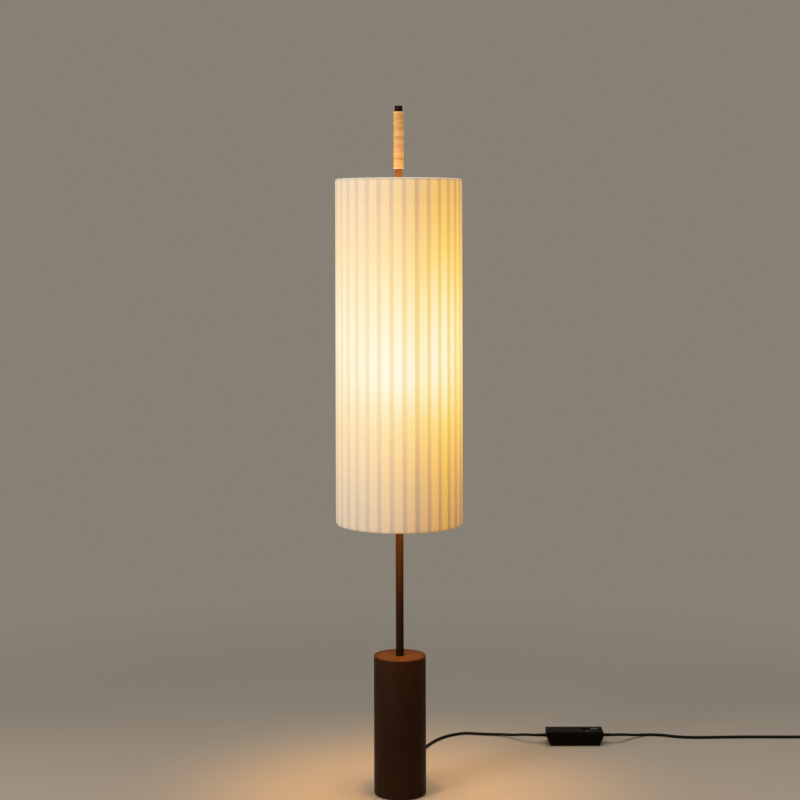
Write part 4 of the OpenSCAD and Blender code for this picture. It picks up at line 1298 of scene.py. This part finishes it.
class LAMP_OT_plug(bpy.types.Operator):
    """Makes the flat plug at the cord's end: a body with a grooved tail, and two sleeved pins"""

    bl_idname = "lamp.plug"
    bl_label = "Plug"

    def execute(self, context):
        face = Vector(PLUG_FACE) * MM
        pieces = [softened("plug_body", "plug_housing", 0.9 * MM, 3)]
        tail = (face.x - PLUG_TAIL * MM) - PLUG_BODY_LENGTH
        for i in range(5):
            ring = pipe(f"plug_ring_{i}", 2.6 * MM, (3.9 + 0.32 * i) * MM, 0, 1.7 * MM, 32)
            along = PLUG_TAIL * MM + tail * (0.22 + 0.16 * i)
            pieces.append(placed(rounded(ring, 0.4 * MM), (along, face.y, face.z), TO_THE_RIGHT))
        dressed(joined(pieces, "plug_housing"), black_plastic(), ["plug_body"])
        places = [((face.x, face.y + side * PIN_SPREAD, face.z), TO_THE_RIGHT) for side in (-1, 1)]
        pins = repeated(turned("pin", in_mm(PIN), 32), places)
        sleeves = repeated(pipe("sleeve", 1.92 * MM, 2 * MM, 0.1 * MM, 9.6 * MM, 32), places)
        dressed(joined(pins, "plug_pin_pair"), nickel(), ["plug_pins"])
        dressed(joined(sleeves, "plug_pin_sleeves"), black_plastic())
        return {"FINISHED"}


class LAMP_OT_finishes(bpy.types.Operator):
    """Gives the parts inside the lamp their finishes"""

    bl_idname = "lamp.finishes"
    bl_label = "Inner parts"

    def execute(self, context):
        finishes = {
            foot_rubber: ["foot_pad"],
            black_steel: ["base_plate"],
            cast_iron: ["counterweight"],
            circuit_board: ["dimmer_board"],
            zinc: ["base_screws", "threaded_rod", "rod_nut", "rod_washer", "stem_insert", "flange_screw",
                   "dimmer_screws"],
            slide_steel: ["dimmer_track"],
        }
        for finish, nodes in finishes.items():
            for node in nodes:
                finish_node(node, finish())
        return {"FINISHED"}


# ---------- studio ----------


FLOOR_SIZE = 60
FLOOR_DROP = 0.2 * MM
WHITE, COOL_WHITE = (1.0, 0.98, 0.96), (0.98, 0.98, 1.0)
# name: kind, place, what it is turned to, power, colour, settings
LIGHTS = {
    "overhead softbox": ("AREA", (0.5, 0.4, 3.9), (0.5, 0.4, 0), 142, WHITE,
                         {"shape": "RECTANGLE", "size": 4.5, "size_y": 3.6}),
    "left softbox": ("AREA", (-2.5, -2.3, 1.9), (0, 0, 0.7), 62, COOL_WHITE,
                     {"shape": "RECTANGLE", "size": 1.0, "size_y": 1.2}),
    "bulbs downwards": ("SPOT", (0.0, -0.03, 0.6), (0.01, -0.01, 0.0), 17.5, (1.0, 0.53, 0.085),
                        {"spot_size": radians(94), "spot_blend": 0.85, "shadow_soft_size": 0.08}),
    "bulbs on the base": ("SPOT", (0.0, -0.03, 0.6), (0.0, 0.0, 0.28), 14, (1.0, 0.42, 0.05),
                          {"spot_size": radians(19), "spot_blend": 0.3, "shadow_soft_size": 0.02}),
    "bulbs upwards": ("POINT", (-0.01, -0.12, 1.15), (0, 0, 2), 0.15, (1.0, 0.62, 0.26),
                      {"shadow_soft_size": 0.01}),
}


def add_lights():
    for name, (kind, at, aim, power, colour, settings) in LIGHTS.items():
        data = bpy.data.lights.new(name, kind)
        data.energy = power
        data.color = colour
        for key, value in settings.items():
            setattr(data, key, value)
        light = bpy.data.objects.new(name, data)
        light.location = at
        light.rotation_euler = (Vector(aim) - Vector(at)).to_track_quat("-Z", "Y").to_euler()
        bpy.context.scene.collection.objects.link(light)


def seen_directly(nodes):
    """1 for what the camera sees straight, in a mirror or through glass, and 0 for what lights."""
    path = nodes.node("LightPath")
    rays = [Number(nodes, path.outputs[f"Is {kind} Ray"]) for kind in ("Camera", "Glossy", "Transmission")]
    return (rays[0] + rays[1] + rays[2]).held()


class LAMP_OT_studio(bpy.types.Operator):
    """Sets the floor, the backdrop's colour and the lights, the lit bulbs' among them"""

    bl_idname = "lamp.studio"
    bl_label = "Studio"

    def execute(self, context):
        studio = context.scene.lamp_studio
        floor = placed(added(bpy.ops.mesh.primitive_plane_add, "floor", size=FLOOR_SIZE), (0, 0, -FLOOR_DROP))
        paint = Finish("studio_floor", roughness=0.9, specular_ior_level=0.1)
        x, y, _ = paint.along(paint.place())
        # From the lamp's foot backwards the floor's colour darkens to the backdrop's, a painted fall-off of the
        # light, and then becomes it.
        paint.colour(paint.mix(eased(y.ramp(-0.1, 0.8)), studio.floor, studio.backdrop))
        far = eased(off_axis(x, y).ramp(0.8, 1.9)) * seen_directly(paint)
        glow = paint.node("Emission", inputs={"Color": studio.backdrop, "Strength": 1.0})
        paint.blended(far, paint.shader, glow, "Material Output")
        floor.data.materials.append(paint.material)

        world = bpy.data.worlds.new("studio")
        context.scene.world = world
        world.use_nodes = True
        sky = Nodes(world.node_tree)
        fill = sky.node("Background", inputs={"Color": (1.0, 0.98, 0.95), "Strength": 0.11})
        backdrop = sky.node("Background", inputs={"Color": studio.backdrop, "Strength": 1.0})
        sky.blended(seen_directly(sky), fill, backdrop, "World Output")
        add_lights()
        context.scene.view_settings.view_transform = "Standard"
        return {"FINISHED"}


# ---------- panel and registration ----------

OPERATORS = [
    LAMP_OT_camera,
    LAMP_OT_reliefs,
    LAMP_OT_dimmer,
    LAMP_OT_plug,
    LAMP_OT_cord,
    LAMP_OT_base,
    LAMP_OT_winding,
    LAMP_OT_ribbons,
    LAMP_OT_shade_frame,
    LAMP_OT_lampholders,
    LAMP_OT_bulbs,
    LAMP_OT_finishes,
    LAMP_OT_studio,
]


class LAMP_PT_sidebar(bpy.types.Panel):
    """Lists the lamp's pieces, sizes and colours"""

    bl_idname = "LAMP_PT_sidebar"
    bl_label = "Ribbon shade floor lamp"
    bl_space_type = "VIEW_3D"
    bl_region_type = "UI"
    bl_category = "Lamp"

    def draw(self, context):
        scene = context.scene
        for group in (scene.lamp_sizes, scene.lamp_colours, scene.lamp_studio):
            box = self.layout.box()
            for name in group.__annotations__:
                box.prop(group, name)
        for operator in OPERATORS:
            self.layout.operator(operator.bl_idname)


GROUPS = {
    "lamp_sizes": LAMP_PG_sizes,
    "lamp_colours": LAMP_PG_colours,
    "lamp_studio": LAMP_PG_studio,
}


def register():
    for cls in (*GROUPS.values(), *OPERATORS, LAMP_PT_sidebar):
        bpy.utils.register_class(cls)
    for name, group in GROUPS.items():
        setattr(bpy.types.Scene, name, bpy.props.PointerProperty(type=group))


def unregister():
    for name in GROUPS:
        delattr(bpy.types.Scene, name)
    for cls in (LAMP_PT_sidebar, *reversed(OPERATORS), *GROUPS.values()):
        bpy.utils.unregister_class(cls)


def main():
    register()
    for operator in OPERATORS:
        group, name = operator.bl_idname.split(".")
        getattr(getattr(bpy.ops, group), name)()


if __name__ == "__main__":
    main()
